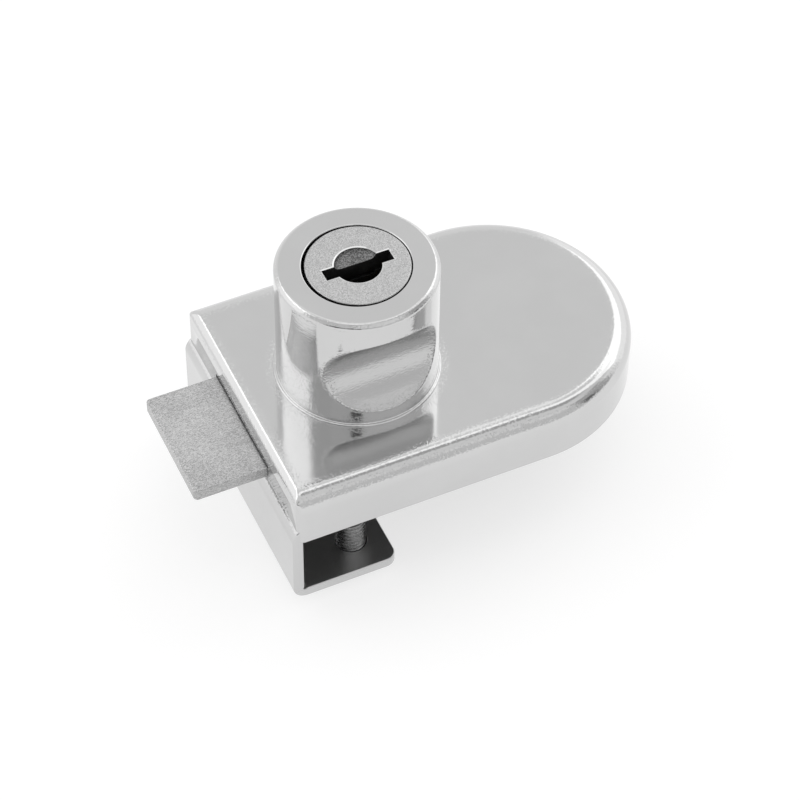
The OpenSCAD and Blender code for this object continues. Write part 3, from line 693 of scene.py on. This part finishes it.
# Size of the swell and of the pits, in metres
CAST_PLATING = (0.0035, 0.0005)
SHEET_PLATING = (0.005, 0.0004)


def make_materials(context):
    """All finishes of the lock."""
    s = sizes(context, "lock_casing")
    colours = context.scene.lock_finishes
    grain, plating = grain_group(), plating_group()
    for slot, *values in (
        # The low end of the tone is the painted shade in the scoop.
        ("chrome_casting", plating, CAST_PLATING, lambda board, out: cast_surface(board, out, s),
         0.88, 1.01, (colours.chrome_gloss, colours.chrome_gloss + 0.2), 0.000012),
        ("chrome_sheet", plating, SHEET_PLATING, sheet_surface,
         0.97, 1.02, (colours.sheet_gloss, colours.sheet_gloss + 0.34), 0.00001),
        ("bolt_steel", grain, BLASTED, bolt_surface, 0.66, 1.34, (0.2, 0.27), 0.00003),
        ("satin_zinc", grain, SATIN, face_surface, 0.84, 1.16, (0.2, 0.28), 0.00003),
        # Painted shade on the keyhole's ledge, with real cast grain.
        ("ledge", grain, SATIN, ledge_surface, 0.5, 1.6, (0.25, 0.35), 0.00006),
        # Painted shade for the insides that lie in shade.
        ("recess", grain, SATIN, follow("Grain", "Blotches", "Grain"),
         0.8, 1.2, (0.45, 0.6), 0.000012),
        ("spring_steel", grain, DRAWN, follow("Streaks", "Blotches", "Streaks"),
         0.9, 1.1, (0.25, 0.4), 0.000005),
        ("dark_steel", grain, BLACKENED, follow("Blotches", "Grain", "Grain"),
         0.88, 1.12, (0.2, 0.3), 0.00001),
        ("yellow_brass", grain, STAMPED, follow("Blotches", "Streaks", "Streaks"),
         0.85, 1.1, (0.22, 0.4), 0.000008),
        ("rubber_pad", grain, MOULDED, follow("Blotches", "Grain", "Grain"),
         0.8, 1.6, (0.6, 0.8), 0.00004, 0.0),
        ("nylon", grain, MOULDED, follow("Blotches", "Grain", "Grain"),
         0.95, 1.03, (0.35, 0.5), 0.00001, 0.0),
    ):
        make_finish(slot, tuple(getattr(colours, slot)), *values)


def finish_of(slot):
    return bpy.data.materials[slot + "_finish"]


# Operators, one for each piece or group of like pieces


class LOCK_OT_finishes(bpy.types.Operator):
    """Make every finish, and give the CAD parts that stay theirs"""
    bl_idname = "lock.finishes"
    bl_label = "Finishes"

    def execute(self, context):
        make_materials(context)
        for part in frame["record"]["subparts"]:
            obj = frame["nodes"][part["node"]]
            obj.data.materials.clear()
            obj.data.materials.append(finish_of(part["material_slot"]))
        return {"FINISHED"}


def face_places(obj):
    """Each face of a piece, with its middle in millimetres."""
    return [(face, face.center / MM) for face in obj.data.polygons]


class LOCK_OT_casing(bpy.types.Operator):
    """Build the D-shaped casing with its rounded top, hollow inside and bolt opening"""
    bl_idname = "lock.casing"
    bl_label = "Casing"

    def execute(self, context):
        s = sizes(context, "lock_casing")
        sheet = sizes(context, "lock_bracket")
        top_z = CASE_Z0 + s.case_h
        roof_z = top_z - s.roof_t
        cavity_x = FLAT_X + s.end_wall_t
        cavity_half = END_R - s.wall_t
        bevel_reach = s.end_bevel + s.bevel_r * math.tan(math.pi / 8)
        least_corner = 0.5
        # How far under the top face more rows stand, to shape the end bevel
        rows_down = (0.02, 0.05, 0.09, 0.55, 0.65, 0.7, 0.75, 0.8, 0.86, 0.92, 0.97)

        def end_x(z):
            """How far in the flat end lies at a height, with its rounded bevel."""
            down, r = top_z - z, s.bevel_r
            if down < r * (1 - math.cos(math.pi / 4)):
                return bevel_reach - math.sqrt(max(r ** 2 - (r - down) ** 2, 0))
            if down > bevel_reach:
                return 0.0
            if down > bevel_reach - r * math.sin(math.pi / 4):
                return r - math.sqrt(r ** 2 - (bevel_reach - down) ** 2)
            return s.end_bevel - down

        rows = [d_row(FLAT_X + bevel_reach + HOLD, END_R - s.top_r - HOLD, least_corner, top_z)]
        for a in sorted({math.radians(a) for a in range(0, 91, 3)}
                        | {math.acos(1 - down / s.top_r) for down in rows_down}):
            z = top_z - s.top_r * (1 - math.cos(a))
            half = END_R - s.top_r * (1 - math.sin(a))
            corner = max(least_corner, s.corner_r - (END_R - half))
            rows.append(d_row(FLAT_X + end_x(z), half, corner, z))
        for z in (top_z - s.top_r - HOLD, CASE_Z0 + s.foot_r + HOLD):
            rows.append(d_row(FLAT_X, END_R, s.corner_r, z))
        for degrees in range(90, -1, -18):
            a = math.radians(degrees)
            inset = s.foot_r * (1 - math.sin(a))
            rows.append(d_row(FLAT_X + inset, END_R - inset, s.corner_r - inset,
                              CASE_Z0 + s.foot_r * (1 - math.cos(a))))
        inset = s.foot_r + HOLD
        rows.append(d_row(FLAT_X + inset, END_R - inset, s.corner_r - inset, CASE_Z0))
        for inset, corner, z in (
                (-0.2, 0.8, CASE_Z0), (-0.1, 0.7, CASE_Z0), (0.0, 0.6, CASE_Z0 + 0.1),
                (0.0, 0.6, CASE_Z0 + 0.2), (0.0, 0.6, roof_z - 0.3),
                (0.09, 0.5, roof_z - 0.09), (0.3, 0.4, roof_z)):
            rows.append(d_row(cavity_x + inset, cavity_half - inset, corner, z))
        bm = bmesh.new()
        loft(bm, rows)
        casing = mesh_object("casing_shell", bm)
        bend_out = sheet.bend_r + sheet.sheet_t
        bend_cx, bend_cz = BRACKET_LO.x + bend_out, BRACKET_HI.z - bend_out

        def bracket_way(cutter):
            """The way through the end wall for the bracket's upper bend."""
            inside, gap = cavity_x + PAST / 2, 0.1
            line = [(FLAT_X - 2 * PAST, CASE_Z0 - PAST), (FLAT_X - 2 * PAST, bend_cz)]
            line += arc(bend_cx, bend_cz, bend_out + gap, math.pi, math.pi / 2, 16)
            line += [(inside, bend_cz + (bend_out + gap)), (inside, CASE_Z0 - PAST)]
            side = cutter.faces.new([cutter.verts.new((x, -cavity_half, z)) for x, z in line])
            raised = bmesh.ops.extrude_face_region(cutter, geom=[side], use_keep_orig=True)
            moved = [v for v in raised["geom"] if isinstance(v, bmesh.types.BMVert)]
            bmesh.ops.translate(cutter, vec=(0, 2 * cavity_half, 0), verts=moved)

        def bolt_slot(cutter):
            beside, over = 0.2, 0.36
            half = sizes(context, "lock_bolt").head_w / 2 + beside
            block(cutter, FLAT_X - PAST, cavity_x + PAST / 2, -half, half,
                  bend_cz, BOLT_HI.z + over)

        def barrel_hole(cutter):
            rod(cutter, 0, 0, 9.2, roof_z - PAST, top_z + PAST)

        cut(casing, bracket_way, bolt_slot, barrel_hole)
        dress(casing, "lock_body", "chrome_casting", "casing")
        # Painted shade: the casing's inside faces get the dark painted-shade finish.
        casing.data.materials.append(finish_of("recess"))
        skin = 0.05
        for face, middle in face_places(casing):
            from_line = math.hypot(max(middle.x - END_CX, 0), middle.y)
            if from_line < cavity_half + skin and middle.x > FLAT_X + skin \
                    and CASE_Z0 + skin < middle.z < roof_z + skin:
                face.material_index = 1
        return {"FINISHED"}


class LOCK_OT_barrel(bpy.types.Operator):
    """Build the upright barrel with its bevelled rim, foot ring and scooped side"""
    bl_idname = "lock.barrel"
    bl_label = "Barrel"

    def execute(self, context):
        s = sizes(context, "lock_casing")
        top_z = CASE_Z0 + s.case_h
        # Radii, heights and roundings of the bore, its mouth, the neck in the casing and the foot
        bore_r, bore_z0, tail_r, neck_r = 5.85, 9.7, 7.5, 10.0
        mouth_r, mouth_z0, mouth_edge = 7.0, 23.75, 0.14
        low_z, sunk_z = top_z - s.roof_t + 0.05, top_z - 0.4
        ring_r, ring_z, ring_edge = s.barrel_r + s.ring_w, top_z + s.ring_h, 0.18
        fillet_r, wall_rows = 0.12, 110
        scoop_z = top_z + s.scoop_h
        scoop_lo, scoop_hi = scoop_z - 6.7, scoop_z + 6.7
        foot = rounded([
            (tail_r, low_z, 0), (neck_r, low_z, 0), (neck_r, sunk_z, 0), (ring_r, sunk_z, 0),
            (ring_r, ring_z, ring_edge), (s.barrel_r + 0.02, ring_z, 0.0),
        ])[:-1]
        foot += arc(s.barrel_r + fillet_r, ring_z + fillet_r, fillet_r, 1.5 * math.pi, math.pi, 4)
        foot.append((s.barrel_r, ring_z + 0.2))
        wall = [(s.barrel_r, scoop_lo + (scoop_hi - scoop_lo) * k / wall_rows)
                for k in range(wall_rows + 1)]
        rim = rounded([
            (s.barrel_r, scoop_hi + 0.2, 0), (s.barrel_r, RIM_Z - s.rim_bevel, s.rim_r),
            (s.barrel_r - s.rim_bevel, RIM_Z, s.rim_r), (mouth_r, RIM_Z, mouth_edge),
            (mouth_r, mouth_z0, 0), (bore_r, mouth_z0, 0), (bore_r, bore_z0, 0),
            (tail_r, bore_z0, 0),
        ])
        front = math.radians(112)
        front_steps, back_steps = 190, 84
        a0 = -math.pi / 2 - front / 2
        bm = bmesh.new()
        verts = [bm.verts.new((r * math.cos(a0), r * math.sin(a0), z))
                 for r, z in foot + wall + rim]
        edges = [bm.edges.new(pair) for pair in zip(verts, verts[1:] + verts[:1])]
        last = bmesh.ops.spin(bm, geom=verts + edges, cent=(0, 0, 0), axis=(0, 0, 1),
                              angle=front, steps=front_steps)["geom_last"]
        bmesh.ops.spin(bm, geom=last, cent=(0, 0, 0), axis=(0, 0, 1),
                       angle=2 * math.pi - front, steps=back_steps)
        merge(bm)
        for v in bm.verts:
            r = math.hypot(v.co.x, v.co.y)
            up = v.co.z - scoop_z
            facing = -v.co.y / r
            if abs(r - s.barrel_r) > 0.01 or abs(up) >= s.scoop_r or facing < 0.3:
                continue
            reach = (s.scoop_y - math.sqrt(s.scoop_r ** 2 - up ** 2)) / facing
            near = max(s.scoop_edge - abs(reach - r), 0) / s.scoop_edge
            cut_r = min(r, reach) - near ** 2 * s.scoop_edge / 4
            v.co.x *= cut_r / r
            v.co.y *= cut_r / r
        barrel = mesh_object("barrel", bm)

        def wafer_grooves(cutter):
            """The two crossing grooves beside the bore that the wafers lock in."""
            half, out, z0, z1, apart = 2.8, 6.3, 10.4, 24.0, 0.1
            block(cutter, -out, out, -half, half, z0, z1)
            block(cutter, -half, half, -out, out, z0 - apart, z1 + apart)

        cut(barrel, wafer_grooves)
        dress(barrel, "lock_body", "chrome_casting", "casing")
        return {"FINISHED"}


CHAMFER_SLOPE = 0.4  # the depth of the keyhole's chamfer against its width


def paint_keyhole_shade(head, s, low, top):
    """Paints shade on the keyhole's upright walls and its ledge with dark finishes, and gives its
    chamfer the plated casting's finish.
    """
    recess, ledge, chamfer = 1, 2, 3
    for name in ("recess", "ledge", "chrome_casting"):
        head.data.materials.append(finish_of(name))
    for face, middle in face_places(head):
        from_axis = math.hypot(middle.x, middle.y)
        if from_axis < s.keyway_l / 2 + 0.2 \
                and abs(middle.z - top + s.chamfer * CHAMFER_SLOPE / 2) < 0.02:
            face.material_index = chamfer
        if not low + 0.01 < middle.z < top - s.chamfer * CHAMFER_SLOPE - 0.01:
            continue
        # Painted shade on the keyhole's ledge.
        if middle.z > top - s.ledge - 0.01 and middle.y > s.keyway_w / 2 + 0.01 \
                and from_axis < s.socket_r + 0.02:
            face.material_index = ledge
        # Painted shade on the keyhole's upright walls.
        elif abs(face.normal.z) < 0.2 and from_axis < s.keyway_l / 2 + 0.05:
            face.material_index = recess


class LOCK_OT_plug(bpy.types.Operator):
    """Build the key plug's head with its keyhole, on the core that the CAD part gives"""
    bl_idname = "lock.plug"
    bl_label = "Key plug"

    def execute(self, context):
        s = sizes(context, "lock_keyhole")
        head_r, face = PLUG_HI.x - s.head_gap, PLUG_HI.z
        low = face - s.head_h
        edge_r, edge_hold = 0.18, 0.25
        past = PAST / 2

        def keyhole(grow, near_only=False):
            """The keyhole's outline, widened all round by grow, or without its shallow half."""
            end, side, r = s.keyway_l / 2 + grow, s.keyway_w / 2 + grow, s.socket_r + grow
            meet = math.asin(side / r)
            near = [(-end, -side)] + arc(0, 0, r, math.pi + meet, 2 * math.pi - meet, 32)
            near += [(end, -side), (end, side)]
            if near_only:
                return near + [(-end, side)]
            return near + arc(0, 0, r, meet, math.pi - meet, 32) + [(-end, side)]

        line = [(0.0, low), (head_r, low), (head_r, face - edge_hold)]
        line += arc(head_r - edge_r, face - edge_r, edge_r, 0, math.pi / 2, 4)
        line += [(head_r - edge_hold, face), (0.0, face)]
        bm = bmesh.new()
        lathe(bm, line, 128, False)
        head = mesh_object("plug_head", bm)

        def shallow_half(cutter):
            bottom = face - s.ledge
            line = [(0.0, bottom)] + arc(s.socket_r - s.ledge_r, bottom + s.ledge_r, s.ledge_r,
                                         -math.pi / 2, 0, 10)
            lathe(cutter, line + [(s.socket_r, face + past), (0.0, face + past)], 96, False)

        def deep_half(cutter):
            prism(cutter, keyhole(0.0, True), low - past, face + past)

        def bevelled_mouth(cutter):
            rows = ((0.0, face - s.chamfer * CHAMFER_SLOPE), (s.chamfer, face),
                    (s.chamfer, face + 0.3))
            loft(cutter, [[(x, y, z) for x, y in keyhole(grow)] for grow, z in rows])

        cut(head, shallow_half, deep_half, bevelled_mouth)
        dress(head, "key_plug", "satin_zinc", "plug", crease=15)
        paint_keyhole_shade(head, s, low, face)
        head.data.transform(Matrix.Translation((s.off_x * MM, s.off_y * MM, 0)))
        bm = bmesh.new()
        bm.from_mesh(frame["nodes"]["plug"].data)
        bmesh.ops.scale(bm, vec=(1 / MM,) * 3, verts=bm.verts)
        merge(bm)
        slice_at(bm, (0, 0, low), (0, 0, 1), True)
        bmesh.ops.triangle_fill(bm, edges=[e for e in bm.edges if e.is_boundary], use_beauty=True,
                                use_dissolve=False)
        core = mesh_object("plug_core", bm)
        # Painted shade: the plug's core, seen only in the gap round the head, gets the dark
        # painted-shade finish.
        dress(core, "key_plug", "satin_zinc", "plug", finish="recess")
        core.modifiers.clear()
        core.data.polygons.foreach_set("use_smooth", [False] * len(core.data.polygons))
        return {"FINISHED"}


class LOCK_OT_bolt(bpy.types.Operator):
    """Build the flat sliding bolt with rounded corners and its crank slot"""
    bl_idname = "lock.bolt"
    bl_label = "Bolt"

    def execute(self, context):
        s = sizes(context, "lock_bolt")
        shoulder = FLAT_X + sizes(context, "lock_casing").end_wall_t + s.shoulder_x
        half, tail, tail_corner = s.head_w / 2, BOLT_HI.y, 0.3
        outline = rounded([
            (BOLT_LO.x, -half, s.corner_r), (shoulder, -half, 0),
            (shoulder, -tail, tail_corner), (BOLT_HI.x, -tail, tail_corner),
            (BOLT_HI.x, tail, tail_corner), (shoulder, tail, tail_corner),
            (shoulder, half, 0), (BOLT_LO.x, half, s.corner_r),
        ], steps=8)
        bm = bmesh.new()
        prism(bm, outline, BOLT_LO.z, BOLT_HI.z, s.edge)
        bolt = mesh_object("bolt_bar", bm)

        def crank_slot(cutter):
            """Long enough for the pin's way in and out of the middle line."""
            crank_r = math.hypot(PIN.x, PIN.y)
            line = arc(PIN.x, crank_r, s.slot_r, 0, math.pi, 24)
            line += arc(PIN.x, PIN.y, s.slot_r, math.pi, 2 * math.pi, 24)
            prism(cutter, line, BOLT_LO.z - PAST, BOLT_HI.z + PAST)

        cut(bolt, crank_slot)
        dress(bolt, "sliding_bolt", "bolt_steel", "bolt")
        return {"FINISHED"}


class LOCK_OT_bracket(bpy.types.Operator):
    """Cut the bracket's blank, fold it round the glass edge and add the screw collars"""
    bl_idname = "lock.bracket"
    bl_label = "Clamp bracket"

    def execute(self, context):
        s = sizes(context, "lock_bracket")
        t = s.sheet_t
        bend_mid, lip_mid = s.bend_r + t / 2, s.lip_bend_r + t / 2
        lip_top, lip_x1 = -9.5, -2.3
        c1x, c1z = BRACKET_LO.x + s.bend_r + t, BRACKET_HI.z - s.bend_r - t
        c2x, c2z = BRACKET_LO.x + s.lip_bend_r + t, lip_top + s.lip_bend_r
        web_half, plate_half = BRACKET_HI.y, END_R - 1.85
        l1 = math.pi / 2 * bend_mid
        web_end = l1 + c1z - c2z
        l2 = math.pi / 2 * lip_mid
        lip_start = web_end + l2
        end = lip_start + lip_x1 - c2x
        # Where the blank gets wider, from the plate's width to the web's, and its roundings there
        step, step_in, step_out = l1 * 0.38, 0.15, 0.35
        bend_steps = 14

        def fold(p):
            """Moves a point (along, across, up) of the flat blank to the bent sheet."""
            along, across, up = p
            if along <= 0:
                return Vector((c1x - along, across, BRACKET_HI.z - t / 2 + up))
            if along <= l1:
                a = along / bend_mid
                r = bend_mid + up
                return Vector((c1x - r * math.sin(a), across, c1z + r * math.cos(a)))
            if along <= web_end:
                return Vector((BRACKET_LO.x + t / 2 - up, across, c1z - (along - l1)))
            if along <= lip_start:
                a = (along - web_end) / lip_mid
                inner = max(-up, 0) / (t / 2)
                r = lip_mid + up + s.groove * inner * math.sin(2 * a) ** 2
                return Vector((c2x - r * math.cos(a), across, c2z - r * math.sin(a)))
            return Vector((c2x + along - lip_start, across, lip_top - t / 2 - up))

        outline = rounded([
            *((x, y, 0) for x, y in arc(c1x - END_CX, 0, plate_half, 1.5 * math.pi,
                                        math.pi / 2, 72)),
            (step, plate_half, step_in), (step, web_half, step_out),
            (end, web_half, s.lip_corner_r), (end, -web_half, s.lip_corner_r),
            (step, -web_half, step_out), (step, -plate_half, step_in),
        ], steps=10)
        bm = bmesh.new()
        prism(bm, outline, -t / 2, t / 2, s.edge, 4)
        lines = [l1 * k / bend_steps for k in range(bend_steps + 1)]
        lines += [web_end + l2 * k / bend_steps for k in range(bend_steps + 1)]
        lines += [-HOLD, l1 + HOLD, web_end - HOLD, lip_start + HOLD]
        for along in lines:
            slice_at(bm, (along, 0, 0), (1, 0, 0))
        for v in bm.verts:
            v.co = fold(v.co)
        bracket = mesh_object("bracket_sheet", bm)
        near = (SCREW_LO + SCREW_HI) / 2
        hole_r = SCREW_HI.x - near.x + s.screw_gap

        def screw_holes(cutter):
            """The two tapped holes, each with a countersunk upper end."""
            below, over, sunk = -14, lip_top + 0.3, -9.8
            for y in (near.y, -near.y):
                lathe(cutter, [(0, below), (hole_r, below), (hole_r, sunk), (hole_r + 0.6, over),
                               (0, over)], 64, False, (near.x, y))

        def plate_holes(cutter):
            """Holes for the four plate screws, two at each end."""
            lo, hi = in_mm(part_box("plate_screws"))
            r, far_y = 1.9, 9.58
            for x in (lo.x + r, hi.x - r):
                y = hi.y - r if x < 0 else far_y
                for side in (1, -1):
                    rod(cutter, x, side * y, r, 0.5, 4, 32)

        cut(bracket, screw_holes, plate_holes)
        dress(bracket, "lock_body", "chrome_sheet", "clamp_bracket")
        bm = bmesh.new()
        out, seat = hole_r + s.collar_t, -10.8
        ring = rounded([(hole_r, BRACKET_LO.z, 0.25), (hole_r, seat, 0), (out, seat, 0),
                        (out, BRACKET_LO.z, 0.35)])
        for y in (near.y, -near.y):
            lathe(bm, ring, 72, True, (near.x, y))
        dress(mesh_object("screw_collars", bm), "lock_body", "chrome_sheet", "clamp_bracket")
        return {"FINISHED"}


class LOCK_OT_pad(bpy.types.Operator):
    """Build the rubber pad that lies on the glass"""
    bl_idname = "lock.pad"
    bl_label = "Glass pad"

    def execute(self, context):
        corner, edge = 1.0, 0.25
        row = d_row(PAD_LO.x, PAD_HI.y, corner, 0.0)
        bm = bmesh.new()
        prism(bm, [(x, y) for x, y, _ in row], PAD_LO.z, PAD_HI.z, edge, 4)
        dress(mesh_object("rubber_sheet", bm), "lock_body", "rubber_pad", "glass_pad")
        return {"FINISHED"}


class LOCK_OT_screws(bpy.types.Operator):
    """Build the threaded clamp screws with their hexagon sockets and soft tips"""
    bl_idname = "lock.screws"
    bl_label = "Clamp screws"

    def execute(self, context):
        s = sizes(context, "lock_screws")
        # Half the width of the thread's crest and of its root
        crest, root = s.pitch * 0.07, s.pitch * 0.18
        thread_steps = 40
        for side in ("near", "far"):
            lo, hi = in_mm(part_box("clamp_screw_" + side))
            middle = (lo + hi) / 2
            r, z0, z1 = (hi.x - lo.x) / 2, lo.z, hi.z
            valley = r - s.thread_depth
            line = []
            for k in range(round((z1 - z0) / s.pitch) + 3):
                z = z0 - 1.5 * s.pitch + k * s.pitch
                line += [(r, z - crest), (r, z + crest),
                         (valley, z + s.pitch / 2 - root), (valley, z + s.pitch / 2 + root)]
            bm = bmesh.new()
            verts = [bm.verts.new((middle.x + q, middle.y, z)) for q, z in line]
            edges = [bm.edges.new(pair) for pair in zip(verts, verts[1:])]
            bmesh.ops.spin(bm, geom=verts + edges, cent=(middle.x, middle.y, 0), axis=(0, 0, 1),
                           dvec=(0, 0, s.pitch / thread_steps), angle=2 * math.pi,
                           steps=thread_steps)
            merge(bm, 1e-3)
            for z, way in ((z0, -1), (z1, 1)):
                slice_at(bm, (0, 0, z), (0, 0, way), True)
                rim = [e for e in bm.edges if e.is_boundary
                       and all(abs(v.co.z - z) < MERGE for v in e.verts)]
                bmesh.ops.triangle_fill(bm, edges=rim, use_beauty=True, use_dissolve=True)
            screw = mesh_object("clamp_screw_" + side + "_thread", bm)

            def ends(cutter):
                """What the lathe takes off both ends."""
                for z, way in ((z0, -1), (z1, 1)):
                    lathe(cutter, [(r - 0.55, z + way * 0.05), (r + 0.5, z + way * 0.05),
                                   (r + 0.5, z - way * 0.95)], 48, True, (middle.x, middle.y))

            def socket(cutter):
                rod(cutter, middle.x, middle.y, s.hex_af / 2 / math.cos(math.pi / 6),
                    z0 - PAST, z0 + s.hex_depth, 6)

            def stem_bore(cutter):
                rod(cutter, middle.x, middle.y, s.stem_r, z1 - 1.2, z1 + PAST, 32)

            cut(screw, ends, socket, stem_bore)
            dress(screw, "clamp_screw_" + side, "dark_steel", "clamp_screw_" + side, crease=30)
            lo, hi = in_mm(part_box("clamp_tip_" + side))
            cap_r = (hi.x - lo.x) / 2
            tip = rounded([(0, lo.z, 0), (s.stem_r, lo.z, 0.1), (s.stem_r, z1, 0),
                           (cap_r, z1, 0.1), (cap_r, hi.z, 0.25), (0, hi.z, 0)], closed=False)
            bm = bmesh.new()
            lathe(bm, tip, 48, False, (middle.x, middle.y))
            dress(mesh_object("soft_tip_" + side, bm), "clamp_tip_" + side, "nylon",
                  "clamp_tip_" + side)
        return {"FINISHED"}


# Camera, fitted to the photograph: place in millimetres, direction, and roll in degrees
CAMERA_PLACE = (-105.88, -238.92, 302.93)
CAMERA_AHEAD = (0.27797, 0.59277, -0.75588)
CAMERA_ROLL = 0.73

# Lamp: direction from the lock, distance and sides in metres
LAMP_WAY = (0.2, 0.42, 0.88)
LAMP_DISTANCE = 0.6
LAMP_SIDES = (0.3, 0.16)


class LOCK_OT_stage(bpy.types.Operator):
    """Set the floor, the soft light and the camera"""
    bl_idname = "lock.stage"
    bl_label = "Stage"

    def execute(self, context):
        s = context.scene.lock_stage
        scene = context.scene
        floor_r, floor_gap = 2500, 0.03
        bm = bmesh.new()
        bmesh.ops.create_circle(bm, cap_ends=True, segments=96, radius=floor_r)
        bmesh.ops.translate(bm, vec=(0, 0, SCREW_LO.z - floor_gap), verts=bm.verts)
        floor = mesh_object("studio_floor", bm)
        floor.data.materials.append(floor_material(tuple(s.floor), s.floor_glow))
        scene.world = bpy.data.worlds.new("studio_light")
        scene.world.use_nodes = True
        light_dome(scene.world.node_tree)
        lamp = bpy.data.lights.new("soft_lamp", "AREA")
        lamp.shape = "RECTANGLE"
        lamp.size, lamp.size_y = LAMP_SIDES
        lamp.energy = s.lamp_power
        holder = bpy.data.objects.new("soft_lamp", lamp)
        way = Vector(LAMP_WAY).normalized()
        holder.location = way * LAMP_DISTANCE
        holder.rotation_euler = way.to_track_quat("Z", "Y").to_euler()
        holder.visible_camera = False
        scene.collection.objects.link(holder)
        eye = bpy.data.cameras.new("photo_view")
        eye.lens, eye.sensor_width, eye.sensor_fit = s.lens, 36.0, "HORIZONTAL"
        eye.clip_start, eye.clip_end = 0.01, 20.0
        camera = bpy.data.objects.new("photo_view", eye)
        ahead = Vector(CAMERA_AHEAD).normalized()
        right = ahead.cross(Vector((0, 0, 1))).normalized()
        up = right.cross(ahead)
        roll = math.radians(CAMERA_ROLL)
        across = right * math.cos(roll) + up * math.sin(roll)
        upright = up * math.cos(roll) - right * math.sin(roll)
        turn = Matrix((across, upright, -ahead)).transposed()
        camera.matrix_world = Matrix.Translation(Vector(CAMERA_PLACE) * MM) @ turn.to_4x4()
        scene.collection.objects.link(camera)
        scene.camera = camera
        scene.view_settings.view_transform = "Standard"
        return {"FINISHED"}


def floor_material(rgb, glow):
    """A pale floor that keeps the shadow and shows a little white of its own."""
    material = bpy.data.materials.new("pale_floor")
    material.use_nodes = True
    board = Board(material.node_tree)
    shader = board.add("ShaderNodeBsdfPrincipled")
    board.link(shader.outputs[0], board.add("ShaderNodeOutputMaterial").inputs[0])
    shader.inputs["Base Color"].default_value = (*rgb, 1.0)
    shader.inputs["Roughness"].default_value = 1.0
    shader.inputs["Specular IOR Level"].default_value = 0.0
    path = board.add("ShaderNodeLightPath").outputs
    seen = board.most(path["Is Camera Ray"],
                      board.most(path["Is Glossy Ray"], path["Is Transmission Ray"]))
    shader.inputs["Emission Color"].default_value = (1.0, 1.0, 1.0, 1.0)
    board.link(board.times(seen, glow), shader.inputs["Emission Strength"])
    return material


# Strength of the studio's light and dark surfaces, with the degrees that each spans to the
# right of -Y and up, and how soft its edges are
LIGHT_FIELDS = (
    (0.74, -60, 42, -20, 33, 4),
    (0.75, -60, -30, 30, 60, 5),
    (0.72, -93, -60, 24, 62, 3),
    (0.15, -62, -18, 4, 27, 2),
    (0.8, 62, 84, 36, 60, 4),
    (0.5, 42, 73, 4, 42, 3),
    (0.2, 46, 58, 9, 23, 2),
    (1.22, 84, 145, -20, 30, 2),
    (1.7, 86, 144, 28, 54, 1.5),
    (1.28, -140, -95, -20, 35, 3),
    (1.9, -157, -95, 33, 57, 3),
)

# Strength of the ceiling's low and high part, of its middle, of the strip and the gap in it, and
# of the dark place where the camera stands
HIGH_LIGHT, LOW_LIGHT, MIDDLE_LIGHT, STRIP_LIGHT, GAP_LIGHT, CAMERA_SHADE = \
    0.87, 0.98, 1.3, 1.42, 0.5, 0.13
TO_CAMERA = (-0.278, -0.593, 0.756)


def light_dome(tree):
    """Soft studio light by direction: pale all round, with bright panels and a few dark gaps.

    Side and height are in degrees, and x, y and z are the parts of a direction of length 1.
    """
    board = Board(tree)
    way = board.add("ShaderNodeTexCoord").outputs["Generated"]
    x, y, z = board.split(way)
    side = board.math("DEGREES", board.math("ARCTAN2", x, board.times(y, -1.0)))
    height = board.math("DEGREES", board.math("ARCSINE", z))

    def between(value, low, high, soft):
        """1 between two values, with soft ends."""
        return board.times(board.ramp(value, low - soft, low + soft),
                           board.ramp(value, high + soft, high - soft))

    level = board.ramp(height, 45, 35, HIGH_LIGHT, LOW_LIGHT)
    for strength, left, right, low, high, soft in LIGHT_FIELDS:
        field = board.times(between(side, left, right, soft), between(height, low, high, soft))
        level = board.mix(field, level, strength)
    level = board.mix(board.ramp(z, 0.975, 0.985), level, MIDDLE_LIGHT)
    strip = board.times(between(y, -0.06, 0.14, 0.02), between(x, -0.25, 2.0, 0.05))
    level = board.mix(board.times(strip, board.ramp(z, 0.62, 0.7)), level, STRIP_LIGHT)
    gap = board.times(between(y, -0.32, -0.1, 0.02), board.ramp(x, 0.05, 0.12))
    level = board.mix(board.times(gap, board.ramp(z, 0.8, 0.84)), level, GAP_LIGHT)
    reach = board.add("ShaderNodeVectorMath", operation="DOT_PRODUCT")
    board.link(way, reach.inputs[0])
    reach.inputs[1].default_value = TO_CAMERA
    level = board.mix(board.ramp(reach.outputs["Value"], 0.994, 0.997), level, CAMERA_SHADE)
    light = board.add("ShaderNodeBackground")
    board.link(level, light.inputs["Strength"])
    light.inputs["Color"].default_value = (1.0, 1.0, 1.0, 1.0)
    board.link(light.outputs[0], board.add("ShaderNodeOutputWorld").inputs[0])


class LOCK_PT_pieces(bpy.types.Panel):
    """Lists the lock's pieces"""
    bl_idname = "LOCK_PT_pieces"
    bl_label = "Door lock"
    bl_space_type = "VIEW_3D"
    bl_region_type = "UI"
    bl_category = "Door lock"

    def draw(self, context):
        for operator in OPERATORS:
            self.layout.operator(operator.bl_idname)
        for name in GROUPS:
            box = self.layout.box()
            for key in GROUPS[name].__annotations__:
                box.prop(getattr(context.scene, name), key)


OPERATORS = (LOCK_OT_finishes, LOCK_OT_stage, LOCK_OT_casing, LOCK_OT_barrel, LOCK_OT_plug,
             LOCK_OT_bolt, LOCK_OT_bracket, LOCK_OT_pad, LOCK_OT_screws)


def register():
    for cls in (*GROUPS.values(), *OPERATORS, LOCK_PT_pieces):
        bpy.utils.register_class(cls)
    for name, cls in GROUPS.items():
        setattr(bpy.types.Scene, name, bpy.props.PointerProperty(type=cls))


def unregister():
    for name in GROUPS:
        delattr(bpy.types.Scene, name)
    for cls in reversed((*GROUPS.values(), *OPERATORS, LOCK_PT_pieces)):
        bpy.utils.unregister_class(cls)


def main():
    register()
    for operator in OPERATORS:
        getattr(bpy.ops.lock, operator.bl_idname.split(".")[1])()


if __name__ == "__main__":
    main()
